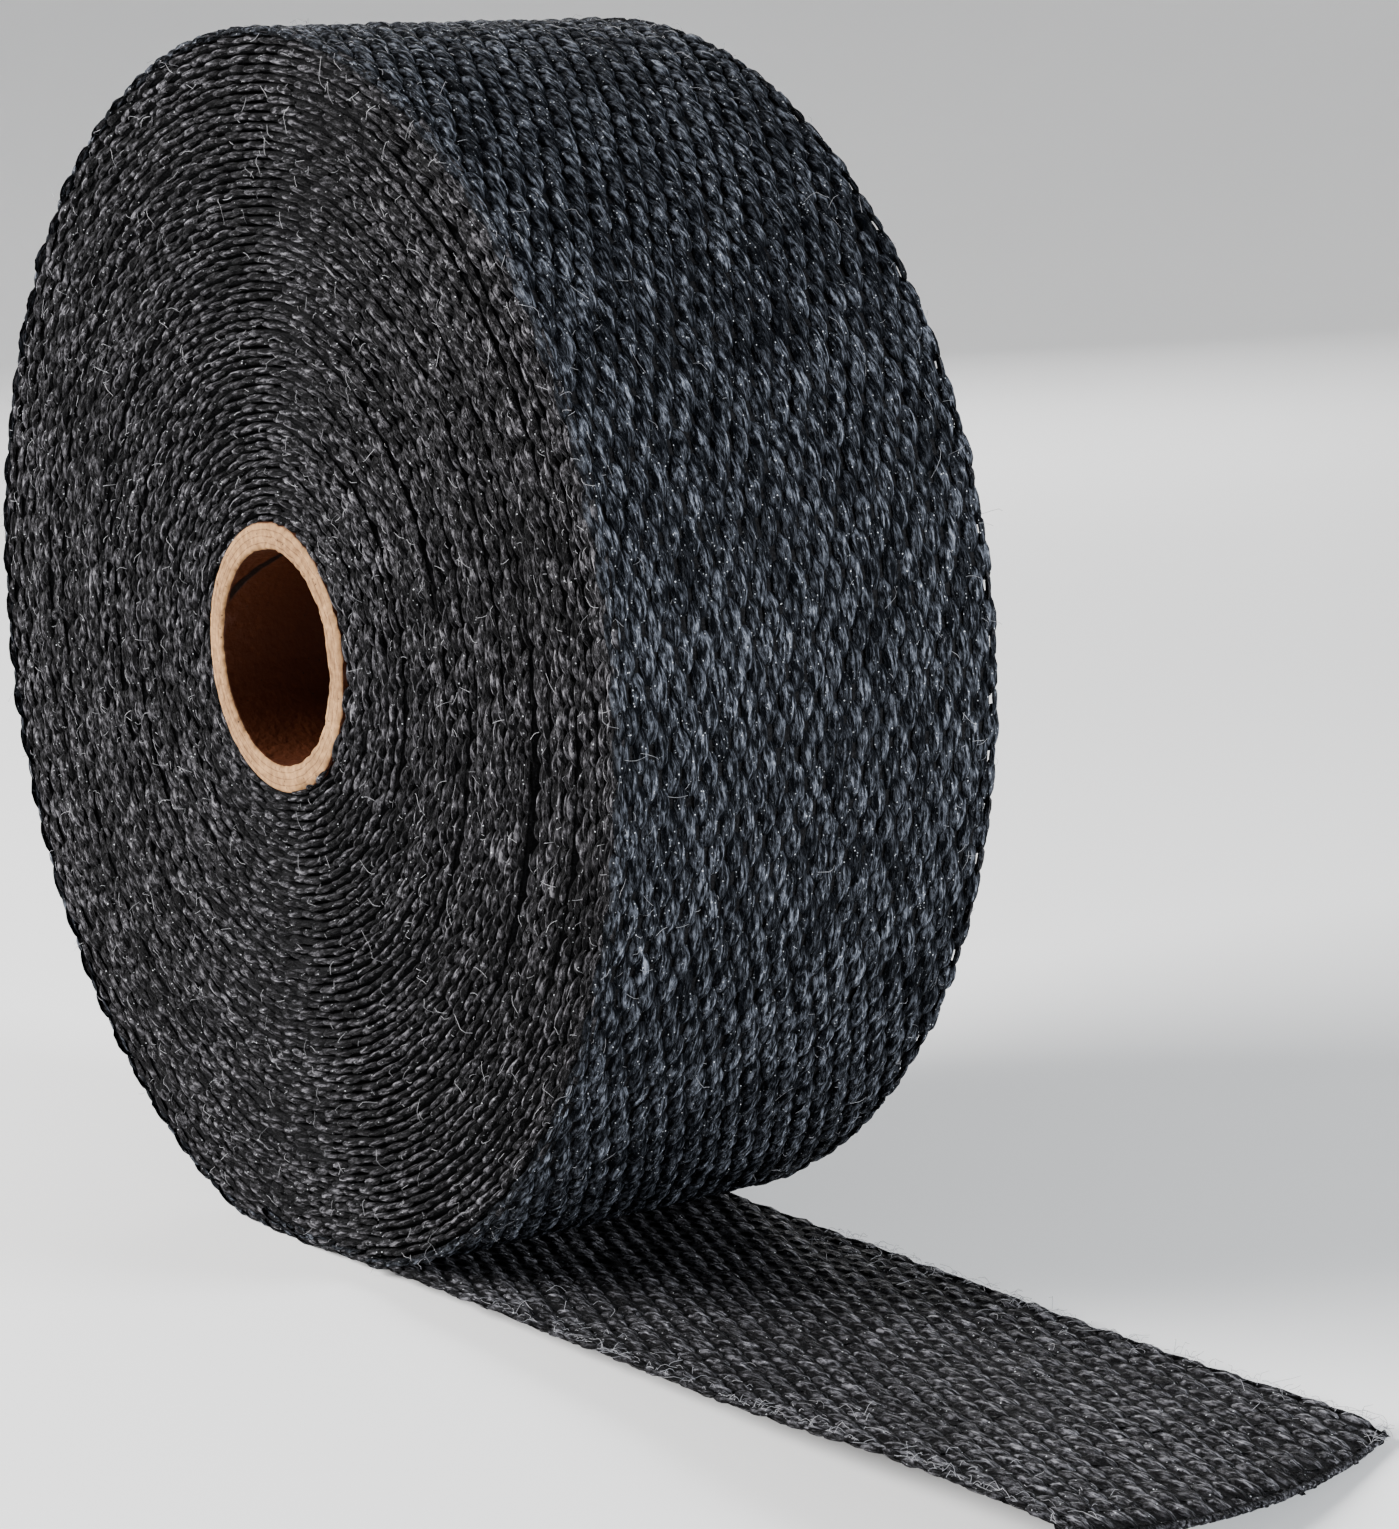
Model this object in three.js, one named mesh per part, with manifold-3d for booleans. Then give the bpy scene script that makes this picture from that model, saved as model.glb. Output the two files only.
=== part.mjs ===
// Roll of woven exhaust heat wrap on a cardboard core, with its loose end laid out on the floor.
// Millimetres. X runs along the loose end, Y along the roll's axis and Z up.
// The origin lies on the floor, under the middle of the roll.
import * as THREE from 'three';
import { mergeVertices } from 'three/addons/utils/BufferGeometryUtils.js';
import Module from 'manifold-3d';

// Tape
const TAPE_WIDTH = 50.8;
const TAPE_THICKNESS = 1.095;
const TURN_COUNT = 53;

// Cardboard core, as long as the tape is wide
const CORE_BORE = 26.0;
const CORE_WALL = 3.2;

// Gap between the core and the first turn
const CORE_CLEARANCE = 0.3;

// How far the roll's own weight flattens its underside
const SAG = 2.0;

// Ends of the roll: one ridge and one groove for each few turns of tape
const TURNS_PER_GROOVE = 3;
const GROOVE_DEPTH = 0.9;

// Loose end, measured from the roll's axis to its furthest point
const TAIL_REACH = 146.8;
const CUT_SLANT = 12.8;
const NEAR_CORNER_RADIUS = 5.0;
const NEAR_EDGE_LIFT = 6.0;

// Steps that round and bent shapes are made in
const ROUND_STEPS = 48;
const OUTER_STEPS = 96;
const CORNER_STEPS = 12;
const TAIL_STEPS = 16;
const WIDTH_STEPS = 6;

// Edges shorter than this are merged away after cuts and joins
const SLIVER_SIZE = 0.02;

const coreRadius = CORE_BORE / 2 + CORE_WALL;
const tapeInnerRadius = coreRadius + CORE_CLEARANCE;
const rollRadius = tapeInnerRadius + TURN_COUNT * TAPE_THICKNESS;
const woundRadius = rollRadius - TAPE_THICKNESS;
const axisHeight = rollRadius - SAG;
const halfWidth = TAPE_WIDTH / 2;
// Half the length of the flat that the roll rests on
const restHalfLength = Math.sqrt(rollRadius ** 2 - axisHeight ** 2);

const wasm = await Module();
wasm.setup();

// Turns a closed geometry into a solid that can be cut and joined.
function toSolid(geometry) {
  const bare = geometry.clone();
  bare.deleteAttribute('normal');
  bare.deleteAttribute('uv');
  const merged = mergeVertices(bare, 1e-4);
  const mesh = new wasm.Mesh({
    numProp: 3,
    vertProperties: new Float32Array(merged.attributes.position.array),
    triVerts: new Uint32Array(merged.index.array),
  });
  return new wasm.Manifold(mesh);
}

// Turns a solid back into a geometry.
function toGeometry(solid) {
  const mesh = solid.getMesh();
  const geometry = new THREE.BufferGeometry();
  geometry.setAttribute('position', new THREE.BufferAttribute(mesh.vertProperties, 3));
  geometry.setIndex(new THREE.BufferAttribute(mesh.triVerts, 1));
  geometry.computeVertexNormals();
  return geometry;
}

// Extrudes an outline drawn in X and Z across the tape's width.
function extrudeAcrossWidth(shape) {
  const geometry = new THREE.ExtrudeGeometry(shape, { depth: TAPE_WIDTH, bevelEnabled: false });
  geometry.rotateX(Math.PI / 2);
  geometry.translate(0, halfWidth, 0);
  return geometry;
}

// Ridge and groove points along one end of the roll, from the core outwards.
function endRidges(inner, outer) {
  const grooveCount = Math.max(1, Math.round(TURN_COUNT / TURNS_PER_GROOVE));
  const pitch = (outer - inner) / grooveCount;
  const points = [new THREE.Vector2(inner, halfWidth)];
  for (let i = 0; i < grooveCount; i += 1) {
    points.push(new THREE.Vector2(inner + (i + 0.5) * pitch, halfWidth - GROOVE_DEPTH));
    points.push(new THREE.Vector2(inner + (i + 1) * pitch, halfWidth));
  }
  return points;
}

// The wound turns as one turned solid, with the turns showing on both ends.
function woundTurns() {
  const backEnd = endRidges(tapeInnerRadius, woundRadius);
  const frontEnd = backEnd.map((point) => new THREE.Vector2(point.x, -point.y));
  const profile = [...frontEnd, ...[...backEnd].reverse()];
  profile.push(profile[0].clone());
  const geometry = new THREE.LatheGeometry(profile, ROUND_STEPS);
  geometry.translate(0, 0, axisHeight);
  return toSolid(geometry);
}

// The outermost turn: it starts under the roll at full radius and ends one thickness further in.
function outermostTurn() {
  const outline = [];
  for (let i = 0; i <= OUTER_STEPS; i += 1) {
    const part = i / OUTER_STEPS;
    const angle = part * 2 * Math.PI;
    const radius = rollRadius - TAPE_THICKNESS * part;
    outline.push(new THREE.Vector2(-radius * Math.sin(angle), axisHeight - radius * Math.cos(angle)));
  }
  const shape = new THREE.Shape(outline);
  const inside = [];
  for (let i = 0; i < ROUND_STEPS; i += 1) {
    // Half a step off the wound turns' corners, so that no two edges fall on each other
    const angle = ((i + 0.5) / ROUND_STEPS) * 2 * Math.PI;
    const radius = woundRadius - TAPE_THICKNESS;
    inside.push(new THREE.Vector2(radius * Math.sin(angle), axisHeight - radius * Math.cos(angle)));
  }
  shape.holes.push(new THREE.Path(inside));
  return toSolid(extrudeAcrossWidth(shape));
}

// Height of the loose end's underside: the near edge rises along its length, the far edge stays down.
function tailLift(x, y) {
  const along = Math.max(0, (x - restHalfLength) / (TAIL_REACH - restHalfLength));
  const towardsNearEdge = 0.5 - y / TAPE_WIDTH;
  return NEAR_EDGE_LIFT * along * towardsNearEdge;
}

// The loose end as a strip of tape: a flat stretch under the roll, then the part that bends up.
function tailStrip() {
  const strip = new THREE.BoxGeometry(TAIL_STEPS, TAPE_WIDTH, TAPE_THICKNESS, TAIL_STEPS, WIDTH_STEPS, 1);
  strip.translate(TAIL_STEPS / 2, 0, TAPE_THICKNESS / 2);
  const stepLength = (TAIL_REACH - restHalfLength) / (TAIL_STEPS - 1);
  const position = strip.attributes.position;
  for (let i = 0; i < position.count; i += 1) {
    const step = Math.round(position.getX(i));
    const x = step === 0 ? 0 : restHalfLength + (step - 1) * stepLength;
    position.setX(i, x);
    position.setZ(i, position.getZ(i) + tailLift(x, position.getY(i)));
  }
  return toSolid(strip);
}

// What the cut end looks like from above: slanted, bowed, and rounded at the near corner.
function tailPlan() {
  const near = -halfWidth;
  const far = halfWidth;
  const cut = near + NEAR_CORNER_RADIUS;
  const shape = new THREE.Shape();
  shape.moveTo(0, near);
  shape.lineTo(TAIL_REACH - NEAR_CORNER_RADIUS, near);
  shape.quadraticCurveTo(TAIL_REACH, near, TAIL_REACH, cut);
  shape.quadraticCurveTo(TAIL_REACH, (cut + far) / 2, TAIL_REACH - CUT_SLANT, far);
  shape.lineTo(0, far);
  const height = NEAR_EDGE_LIFT + 4 * TAPE_THICKNESS;
  const geometry = new THREE.ExtrudeGeometry(shape, {
    depth: height,
    bevelEnabled: false,
    curveSegments: CORNER_STEPS,
  });
  geometry.translate(0, 0, -TAPE_THICKNESS);
  return toSolid(geometry);
}

// Everything above the floor, as a block around the roll and its loose end.
function aboveFloor() {
  const reach = 2 * (rollRadius + TAIL_REACH);
  const block = new THREE.BoxGeometry(reach, reach, reach);
  block.translate(0, 0, reach / 2);
  return toSolid(block);
}

function tapeGeometry() {
  const tail = tailStrip().intersect(tailPlan());
  const tape = woundTurns().add(outermostTurn()).add(tail);
  return toGeometry(tape.intersect(aboveFloor()).simplify(SLIVER_SIZE));
}

function coreGeometry() {
  const bore = CORE_BORE / 2;
  const profile = [
    new THREE.Vector2(bore, -halfWidth),
    new THREE.Vector2(coreRadius, -halfWidth),
    new THREE.Vector2(coreRadius, halfWidth),
    new THREE.Vector2(bore, halfWidth),
    new THREE.Vector2(bore, -halfWidth),
  ];
  const geometry = new THREE.LatheGeometry(profile, ROUND_STEPS);
  geometry.translate(0, 0, axisHeight);
  return toGeometry(toSolid(geometry));
}

function namedMesh(name, geometry, material) {
  const mesh = new THREE.Mesh(geometry, new THREE.MeshStandardMaterial(material));
  mesh.name = name;
  return mesh;
}

const charcoalWeave = { color: 0x35373d, roughness: 0.9, metalness: 0.0 };
const kraftCardboard = { color: 0xc9a27a, roughness: 0.85, metalness: 0.0 };

const roll = new THREE.Group();
roll.add(namedMesh('heat_wrap_tape', tapeGeometry(), charcoalWeave));
roll.add(namedMesh('core_tube', coreGeometry(), kraftCardboard));

export default roll;
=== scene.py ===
"""Roll of woven exhaust heat wrap on a cardboard core, with its loose end laid on the floor.

Everything is in metres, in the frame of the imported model. X runs along the loose end, Y along the
roll's axis and Z up. The origin lies on the floor, under the middle of the roll.
"""

import logging
import math
from dataclasses import dataclass
from enum import Enum
from functools import cached_property

import bpy
import numpy as np
from mathutils import Matrix, Vector


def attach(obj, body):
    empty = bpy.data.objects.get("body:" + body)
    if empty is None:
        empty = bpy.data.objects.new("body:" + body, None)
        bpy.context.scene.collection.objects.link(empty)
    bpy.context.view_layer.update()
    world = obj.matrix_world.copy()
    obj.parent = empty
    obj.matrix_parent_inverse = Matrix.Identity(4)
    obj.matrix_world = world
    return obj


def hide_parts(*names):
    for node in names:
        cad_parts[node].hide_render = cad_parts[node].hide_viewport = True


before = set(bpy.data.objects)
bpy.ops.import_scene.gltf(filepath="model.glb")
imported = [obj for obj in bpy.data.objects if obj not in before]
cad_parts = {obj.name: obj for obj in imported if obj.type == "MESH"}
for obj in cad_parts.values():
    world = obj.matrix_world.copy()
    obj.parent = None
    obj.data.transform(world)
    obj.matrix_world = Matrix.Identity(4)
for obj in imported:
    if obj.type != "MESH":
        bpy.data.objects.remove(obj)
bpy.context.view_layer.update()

LOG = logging.getLogger("heat_wrap")
TURN = 2.0 * math.pi
WANDER_KNOTS = 4096
LOWEST_POINT = 0.00002
RUFFLE_SCALE = 1300.0
Colour = tuple[float, float, float, float]


class Face(Enum):
    """The end faces of the roll, each with the sign of the Y that it looks along."""

    FRONT = -1.0
    BACK = 1.0


class Half(Enum):
    """The halves of the outer turn: up from the floor to the top, and down again."""

    START = 0
    FINISH = 1


class Side(Enum):
    """The two sides of the loose end, each with the sign of the Z that it looks along."""

    TOP = 1.0
    UNDER = -1.0


def unit(vectors: np.ndarray) -> np.ndarray:
    """Give each row of vectors the length one."""
    return vectors / np.linalg.norm(vectors, axis=-1, keepdims=True)


def over_and_under(count: int) -> np.ndarray:
    """Alternate between 1 and -1, as a yarn goes over and under the weft."""
    return np.where(np.arange(count) % 2 == 0, 1.0, -1.0)


def varied(dice: np.random.Generator, count: int, *shares: tuple[float, float]) -> np.ndarray:
    """Draw the width, length and height of yarns, as shares of their whole size.

    Args:
        dice: Source of the draws.
        count: Number of yarns.
        *shares: Mean and spread of each of the three.

    Returns:
        One row for each yarn.
    """
    return np.stack([dice.normal(mean, spread, count) for mean, spread in shares], axis=-1)


def put(name: str, data: bpy.types.ID) -> bpy.types.Object:
    """Put an object in the scene.

    Args:
        name: Name of the object.
        data: Its mesh, lamp or camera.

    Returns:
        The new object.
    """
    made = bpy.data.objects.new(name, data)
    bpy.context.scene.collection.objects.link(made)
    return made


@dataclass(frozen=True)
class TapeSizes:
    """Sizes of the tape, of its weave and of the roll that it is wound into.

    Attributes:
        width: Width of the tape.
        thickness: Thickness of one turn.
        turns: Number of turns in the roll.
        inner_radius: Radius of the tape's bore.
        core_radius: Outer radius of the cardboard core.
        bore_radius: Radius of the core's bore.
        sag: Depth of the flattened patch that the roll rests on.
        reach: Length of the loose end, from below the roll's axis to its tip.
        slant: How much shorter the cut makes the loose end at its far edge.
        corner: Radius of the rounded corner at the tip.
        columns: Number of warp yarns across the tape.
        pick: Length of tape from one weft yarn to the next.
    """

    width: float = 0.0508
    thickness: float = 0.001095
    turns: int = 53
    inner_radius: float = 0.0165
    core_radius: float = 0.0162
    bore_radius: float = 0.0130
    sag: float = 0.0020
    reach: float = 0.1468
    slant: float = 0.0128
    corner: float = 0.0050
    columns: int = 40
    pick: float = 0.003186

    @property
    def roll_radius(self) -> float:
        """Radius of the whole roll."""
        return self.inner_radius + self.turns * self.thickness

    @property
    def axis_height(self) -> float:
        """Height of the roll's axis above the floor, with the roll sagged."""
        return self.roll_radius - self.sag

    @property
    def half_width(self) -> float:
        """Half of the tape's width."""
        return 0.5 * self.width

    @property
    def column_pitch(self) -> float:
        """Distance between neighbouring warp yarns."""
        return self.width / self.columns

    def column_places(self) -> np.ndarray:
        """Y of each warp yarn, from the front edge to the back one."""
        return -self.half_width + self.column_pitch * (np.arange(self.columns) + 0.5)


@dataclass(frozen=True)
class Wander:
    """Smooth random wandering along a path, between -1 and 1.

    Attributes:
        seed: Which wandering it is.
        step: Distance along the path between its turning points.
    """

    seed: int
    step: float

    def at(self, where: np.ndarray) -> np.ndarray:
        """Find the wandering at each place.

        Args:
            where: Places along the path.

        Returns:
            One value for each place.
        """
        spot = np.asarray(where, dtype=float) / self.step
        low = np.floor(spot).astype(int)
        part = spot - low
        ease = part * part * (3.0 - 2.0 * part)
        knots = np.random.default_rng(self.seed).uniform(-1.0, 1.0, WANDER_KNOTS)
        return knots[low % WANDER_KNOTS] * (1.0 - ease) + knots[(low + 1) % WANDER_KNOTS] * ease


@dataclass(frozen=True)
class Gap:
    """A place where two neighbouring turns stand apart.

    Attributes:
        turn: Turns from the outer start of the winding to the middle of the gap.
        reach: Half of the gap's length, in radians.
        outward: How far the turns outside the gap move out.
        inward: How far the turns inside it move in.
        spread: Number of turns over which the movement dies away.
    """

    turn: float
    reach: float
    outward: float
    inward: float
    spread: float = 5.0

    def shift(self, angle: np.ndarray) -> np.ndarray:
        """Find how far the tape moves from its even winding.

        Args:
            angle: Winding angles from the outer start, in radians.

        Returns:
            The movement away from the axis at each angle.
        """
        away = angle - self.turn * TURN
        aside = (away + math.pi) % TURN - math.pi
        passed = np.round((away - aside) / TURN)
        window = np.where(np.abs(aside) < self.reach, np.cos(0.5 * math.pi * aside / self.reach) ** 2, 0.0)
        outside = self.outward * np.exp(np.minimum(passed, 0.0) / self.spread)
        inside = -self.inward * np.exp(-np.maximum(passed - 1.0, 0.0) / self.spread)
        return window * np.where(passed <= 0.0, outside, inside)


@dataclass(frozen=True)
class Winding:
    """The spiral that the tape follows, from the loose end under the roll to the core.

    Attributes:
        sizes: Sizes of the tape and the roll.
        settle_depth: Depth over which the roll's flattened patch dies away.
        slack: How far any turn wanders out or in.
        drifts: Seed, size and step of each wandering of the tape's edge along Y.
        gaps: Places where turns stand apart.
    """

    sizes: TapeSizes
    settle_depth: float = 0.012
    slack: float = 0.00007
    drifts: tuple[tuple[int, float, float], ...] = (
        (21, 0.00036, 3.3 * TURN), (22, 0.00028, 0.8 * TURN), (23, 0.00016, 0.55))
    gaps: tuple[Gap, ...] = (
        Gap(0.875, 0.75, 0.00055, 0.0, 0.6),
        Gap(15.79, 0.60, 0.00075, 0.00060),
        Gap(28.24, 1.15, 0.00090, 0.00080),
        Gap(33.25, 0.80, 0.00032, 0.00030),
        Gap(7.40, 0.45, 0.00014, 0.00012),
        Gap(40.60, 0.70, 0.00014, 0.00014),
        Gap(22.10, 0.60, 0.00014, 0.00012),
    )

    @property
    def length(self) -> float:
        """Length of tape in the roll."""
        last = self.sizes.turns * TURN
        return self.sizes.roll_radius * last - self.sizes.thickness * last * last / (2.0 * TURN)

    def angle_at(self, travel: np.ndarray) -> np.ndarray:
        """Find the winding angle after a length of tape.

        Args:
            travel: Lengths of tape from the outer start.

        Returns:
            Winding angles in radians.
        """
        radius = self.sizes.roll_radius
        inside = np.maximum(radius * radius - 2.0 * self.sizes.thickness * travel / TURN, 0.0)
        return (radius - np.sqrt(inside)) * TURN / self.sizes.thickness

    def radius(self, angle: np.ndarray) -> np.ndarray:
        """Find the radius of the tape's outer face.

        Args:
            angle: Winding angles in radians.

        Returns:
            One radius for each angle.
        """
        even = self.sizes.roll_radius - self.sizes.thickness * angle / TURN
        loose = self.slack * Wander(11, 0.9).at(angle) * np.clip(angle, 0.0, 1.0)
        for gap in self.gaps:
            loose = loose + gap.shift(angle)
        return even + loose

    def drift(self, angle: np.ndarray) -> np.ndarray:
        """Find how far the tape's edge lies out of the plane of the end face.

        Args:
            angle: Winding angles in radians.

        Returns:
            Movement along Y at each angle.
        """
        moved = sum(size * Wander(seed, step).at(angle) for seed, size, step in self.drifts)
        return moved * np.clip(0.35 + angle / (3.0 * TURN), 0.0, 1.0)

    def place(self, angle: np.ndarray, radius: np.ndarray, y: np.ndarray) -> np.ndarray:
        """Place points of the roll, settled under its own weight.

        Args:
            angle: Winding angles in radians.
            radius: Distances from the roll's axis.
            y: Places along the axis.

        Returns:
            Points as rows of x, y and z.
        """
        whole = self.sizes.roll_radius
        height = self.sizes.axis_height
        x = -radius * np.sin(angle)
        z = height - radius * np.cos(angle)
        dip = np.maximum(np.sqrt(np.maximum(whole * whole - x * x, 0.0)) - height, 0.0)
        push = np.where(z < height, dip * np.exp((radius - whole) / self.settle_depth), 0.0)
        return np.stack(np.broadcast_arrays(x, y, z + push), axis=-1)

    @staticmethod
    def onward(angle: np.ndarray) -> np.ndarray:
        """Direction along the tape at each angle, towards the core."""
        return np.stack([-np.cos(angle), np.zeros_like(angle), np.sin(angle)], axis=-1)

    @staticmethod
    def outward(angle: np.ndarray) -> np.ndarray:
        """Direction away from the axis at each angle."""
        return np.stack([-np.sin(angle), np.zeros_like(angle), -np.cos(angle)], axis=-1)


class MeshShop:
    """Turns arrays of points into mesh objects."""

    @staticmethod
    def grid_faces(rows: int, columns: int, flip: bool = False, start: int = 0) -> np.ndarray:
        """List the quads of a grid of points.

        Args:
            rows: Number of rows of points.
            columns: Number of points in a row.
            flip: Whether the quads look the other way.
            start: Number of the grid's first point.

        Returns:
            Four point numbers for each quad.
        """
        i, j = np.meshgrid(np.arange(rows - 1), np.arange(columns - 1), indexing="ij")
        a = (i * columns + j).ravel() + start
        quads = np.stack([a, a + 1, a + columns + 1, a + columns], axis=-1)
        return quads[:, ::-1] if flip else quads

    @staticmethod
    def make(name: str, points: np.ndarray, faces: np.ndarray) -> bpy.types.Object:
        """Make a smooth mesh object in the scene.

        Args:
            name: Name of the object and its mesh.
            points: Points as rows of x, y and z.
            faces: Point numbers of each face.

        Returns:
            The new object.
        """
        mesh = bpy.data.meshes.new(name)
        mesh.from_pydata(points.reshape(-1, 3).tolist(), [], faces.tolist())
        mesh.update()
        mesh.shade_smooth()
        return put(name, mesh)

    @classmethod
    def sheet(cls, name: str, grid: np.ndarray, wanted: tuple[float, float, float],
              *finishes: bpy.types.Material) -> bpy.types.Object:
        """Make a sheet from a grid of points, with its first face looking the wanted way.

        Args:
            name: Name of the object.
            grid: Rows and columns of points.
            wanted: Direction that the first face is to look.
            *finishes: Its materials.

        Returns:
            The new object.
        """
        mid = grid.shape[1] // 2
        looks = np.cross(grid[0, mid] - grid[0, mid - 1], grid[1, mid] - grid[0, mid])
        flip = float(np.dot(looks, wanted)) < 0.0
        made = cls.make(name, grid, cls.grid_faces(grid.shape[0], grid.shape[1], flip))
        for finish in finishes:
            made.data.materials.append(finish)
        return made

    @staticmethod
    def lay_map(mesh: bpy.types.Mesh, name: str, values: np.ndarray) -> None:
        """Give a mesh a UV map with one place for each point.

        Args:
            mesh: The mesh.
            name: Name of the map.
            values: Rows of u and v, one for each point.
        """
        corners = np.empty(len(mesh.loops), dtype=np.int32)
        mesh.loops.foreach_get("vertex_index", corners)
        layer = mesh.uv_layers.new(name=name)
        layer.data.foreach_set("uv", values[corners].astype(np.float32).ravel())

    @staticmethod
    def keep_above_floor(made: bpy.types.Object) -> None:
        """Lift what a piece has below the floor onto it.

        Args:
            made: The piece.
        """
        count = len(made.data.vertices)
        points = np.empty(count * 3, dtype=np.float32)
        made.data.vertices.foreach_get("co", points)
        points = points.reshape(-1, 3)
        points[:, 2] = np.maximum(points[:, 2], LOWEST_POINT)
        made.data.vertices.foreach_set("co", points.ravel())
        made.data.update()


class NodeSheet:
    """A short way to add nodes to a tree and join them."""

    def __init__(self, tree: bpy.types.NodeTree) -> None:
        """Keep the tree that the nodes go in."""
        self.tree = tree

    def add(self, kind: str, **settings: object) -> bpy.types.Node:
        """Add a node.

        Args:
            kind: Blender's name for the kind of node.
            **settings: Values of the node's own settings.

        Returns:
            The new node.
        """
        node = self.tree.nodes.new(kind)
        for name, value in settings.items():
            setattr(node, name, value)
        return node

    def join(self, source: bpy.types.NodeSocket, target: bpy.types.NodeSocket) -> None:
        """Join two sockets."""
        self.tree.links.new(source, target)

    def maths(self, operation: str, first: object, second: object = None) -> bpy.types.NodeSocket:
        """Add a Math node.

        Args:
            operation: What the node does.
            first: A socket or a number.
            second: A socket or a number, or nothing.

        Returns:
            The node's output.
        """
        node = self.add("ShaderNodeMath", operation=operation)
        for slot, value in enumerate((first, second)):
            if isinstance(value, bpy.types.NodeSocket):
                self.join(value, node.inputs[slot])
            elif value is not None:
                node.inputs[slot].default_value = value
        return node.outputs[0]

    def blend(self, part: object, first: object, second: object) -> bpy.types.NodeSocket:
        """Add a node that mixes two colours.

        Args:
            part: Share of the second colour, as a socket or a number.
            first: First colour, as a socket or four numbers.
            second: Second colour, as a socket or four numbers.

        Returns:
            The mixed colour.
        """
        node = self.add("ShaderNodeMix", data_type="RGBA")
        for slot, value in ((0, part), (6, first), (7, second)):
            if isinstance(value, bpy.types.NodeSocket):
                self.join(value, node.inputs[slot])
            else:
                node.inputs[slot].default_value = value
        return node.outputs[2]

    def spread(self, value: bpy.types.NodeSocket, low: float, high: float,
               start: float = 0.0, end: float = 1.0) -> bpy.types.NodeSocket:
        """Add a Map Range node.

        Args:
            value: The value to map.
            low: Value that becomes the start.
            high: Value that becomes the end.
            start: First result.
            end: Last result.

        Returns:
            The mapped value.
        """
        node = self.add("ShaderNodeMapRange")
        for slot, number in ((1, low), (2, high), (3, start), (4, end)):
            node.inputs[slot].default_value = number
        self.join(value, node.inputs[0])
        return node.outputs[0]


class YarnTree:
    """Geometry Nodes that set a yarn on each point of a mesh."""

    def __init__(self) -> None:
        """Build the tree."""
        tree = bpy.data.node_groups.new("set_yarns", "GeometryNodeTree")
        sockets = tree.interface
        sockets.new_socket("Places", in_out="INPUT", socket_type="NodeSocketGeometry")
        for name, kind in (("Yarn", "Object"), ("Width", "Float"), ("Length", "Float"),
                           ("Height", "Float"), ("Ruffle", "Float"), ("Ruffle Scale", "Float"),
                           ("Finish", "Material")):
            sockets.new_socket(name, in_out="INPUT", socket_type="NodeSocket" + kind)
        sockets.new_socket("Cloth", in_out="OUTPUT", socket_type="NodeSocketGeometry")
        sheet = NodeSheet(tree)
        given = sheet.add("NodeGroupInput")
        yarn = sheet.add("GeometryNodeObjectInfo")
        size = sheet.add("GeometryNodeInputNamedAttribute", data_type="FLOAT_VECTOR")
        size.inputs["Name"].default_value = "size"
        turning = sheet.add("GeometryNodeInputNamedAttribute", data_type="FLOAT_VECTOR")
        turning.inputs["Name"].default_value = "turning"
        whole = sheet.add("ShaderNodeCombineXYZ")
        scale = sheet.add("ShaderNodeVectorMath", operation="MULTIPLY")
        rotation = sheet.add("FunctionNodeEulerToRotation")
        setter = sheet.add("GeometryNodeInstanceOnPoints")
        realize = sheet.add("GeometryNodeRealizeInstances")
        lumps = sheet.add("ShaderNodeTexNoise")
        lumps.inputs["Detail"].default_value = 2.0
        centred = sheet.add("ShaderNodeVectorMath", operation="SUBTRACT")
        centred.inputs[1].default_value = (0.5, 0.5, 0.5)
        moved = sheet.add("ShaderNodeVectorMath", operation="SCALE")
        ruffle = sheet.add("GeometryNodeSetPosition")
        paint = sheet.add("GeometryNodeSetMaterial")
        made = sheet.add("NodeGroupOutput")
        sheet.join(given.outputs["Ruffle Scale"], lumps.inputs["Scale"])
        sheet.join(lumps.outputs["Color"], centred.inputs[0])
        sheet.join(centred.outputs[0], moved.inputs[0])
        sheet.join(given.outputs["Ruffle"], moved.inputs["Scale"])
        sheet.join(moved.outputs[0], ruffle.inputs["Offset"])
        sheet.join(given.outputs["Yarn"], yarn.inputs["Object"])
        for slot, name in enumerate(("Width", "Length", "Height")):
            sheet.join(given.outputs[name], whole.inputs[slot])
        sheet.join(whole.outputs[0], scale.inputs[0])
        sheet.join(size.outputs["Attribute"], scale.inputs[1])
        sheet.join(turning.outputs["Attribute"], rotation.inputs[0])
        sheet.join(given.outputs["Places"], setter.inputs["Points"])
        sheet.join(yarn.outputs["Geometry"], setter.inputs["Instance"])
        sheet.join(rotation.outputs[0], setter.inputs["Rotation"])
        sheet.join(scale.outputs[0], setter.inputs["Scale"])
        sheet.join(setter.outputs["Instances"], realize.inputs["Geometry"])
        sheet.join(realize.outputs["Geometry"], ruffle.inputs["Geometry"])
        sheet.join(ruffle.outputs["Geometry"], paint.inputs["Geometry"])
        sheet.join(given.outputs["Finish"], paint.inputs["Material"])
        sheet.join(paint.outputs["Geometry"], made.inputs["Cloth"])
        self.tree = tree


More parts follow.
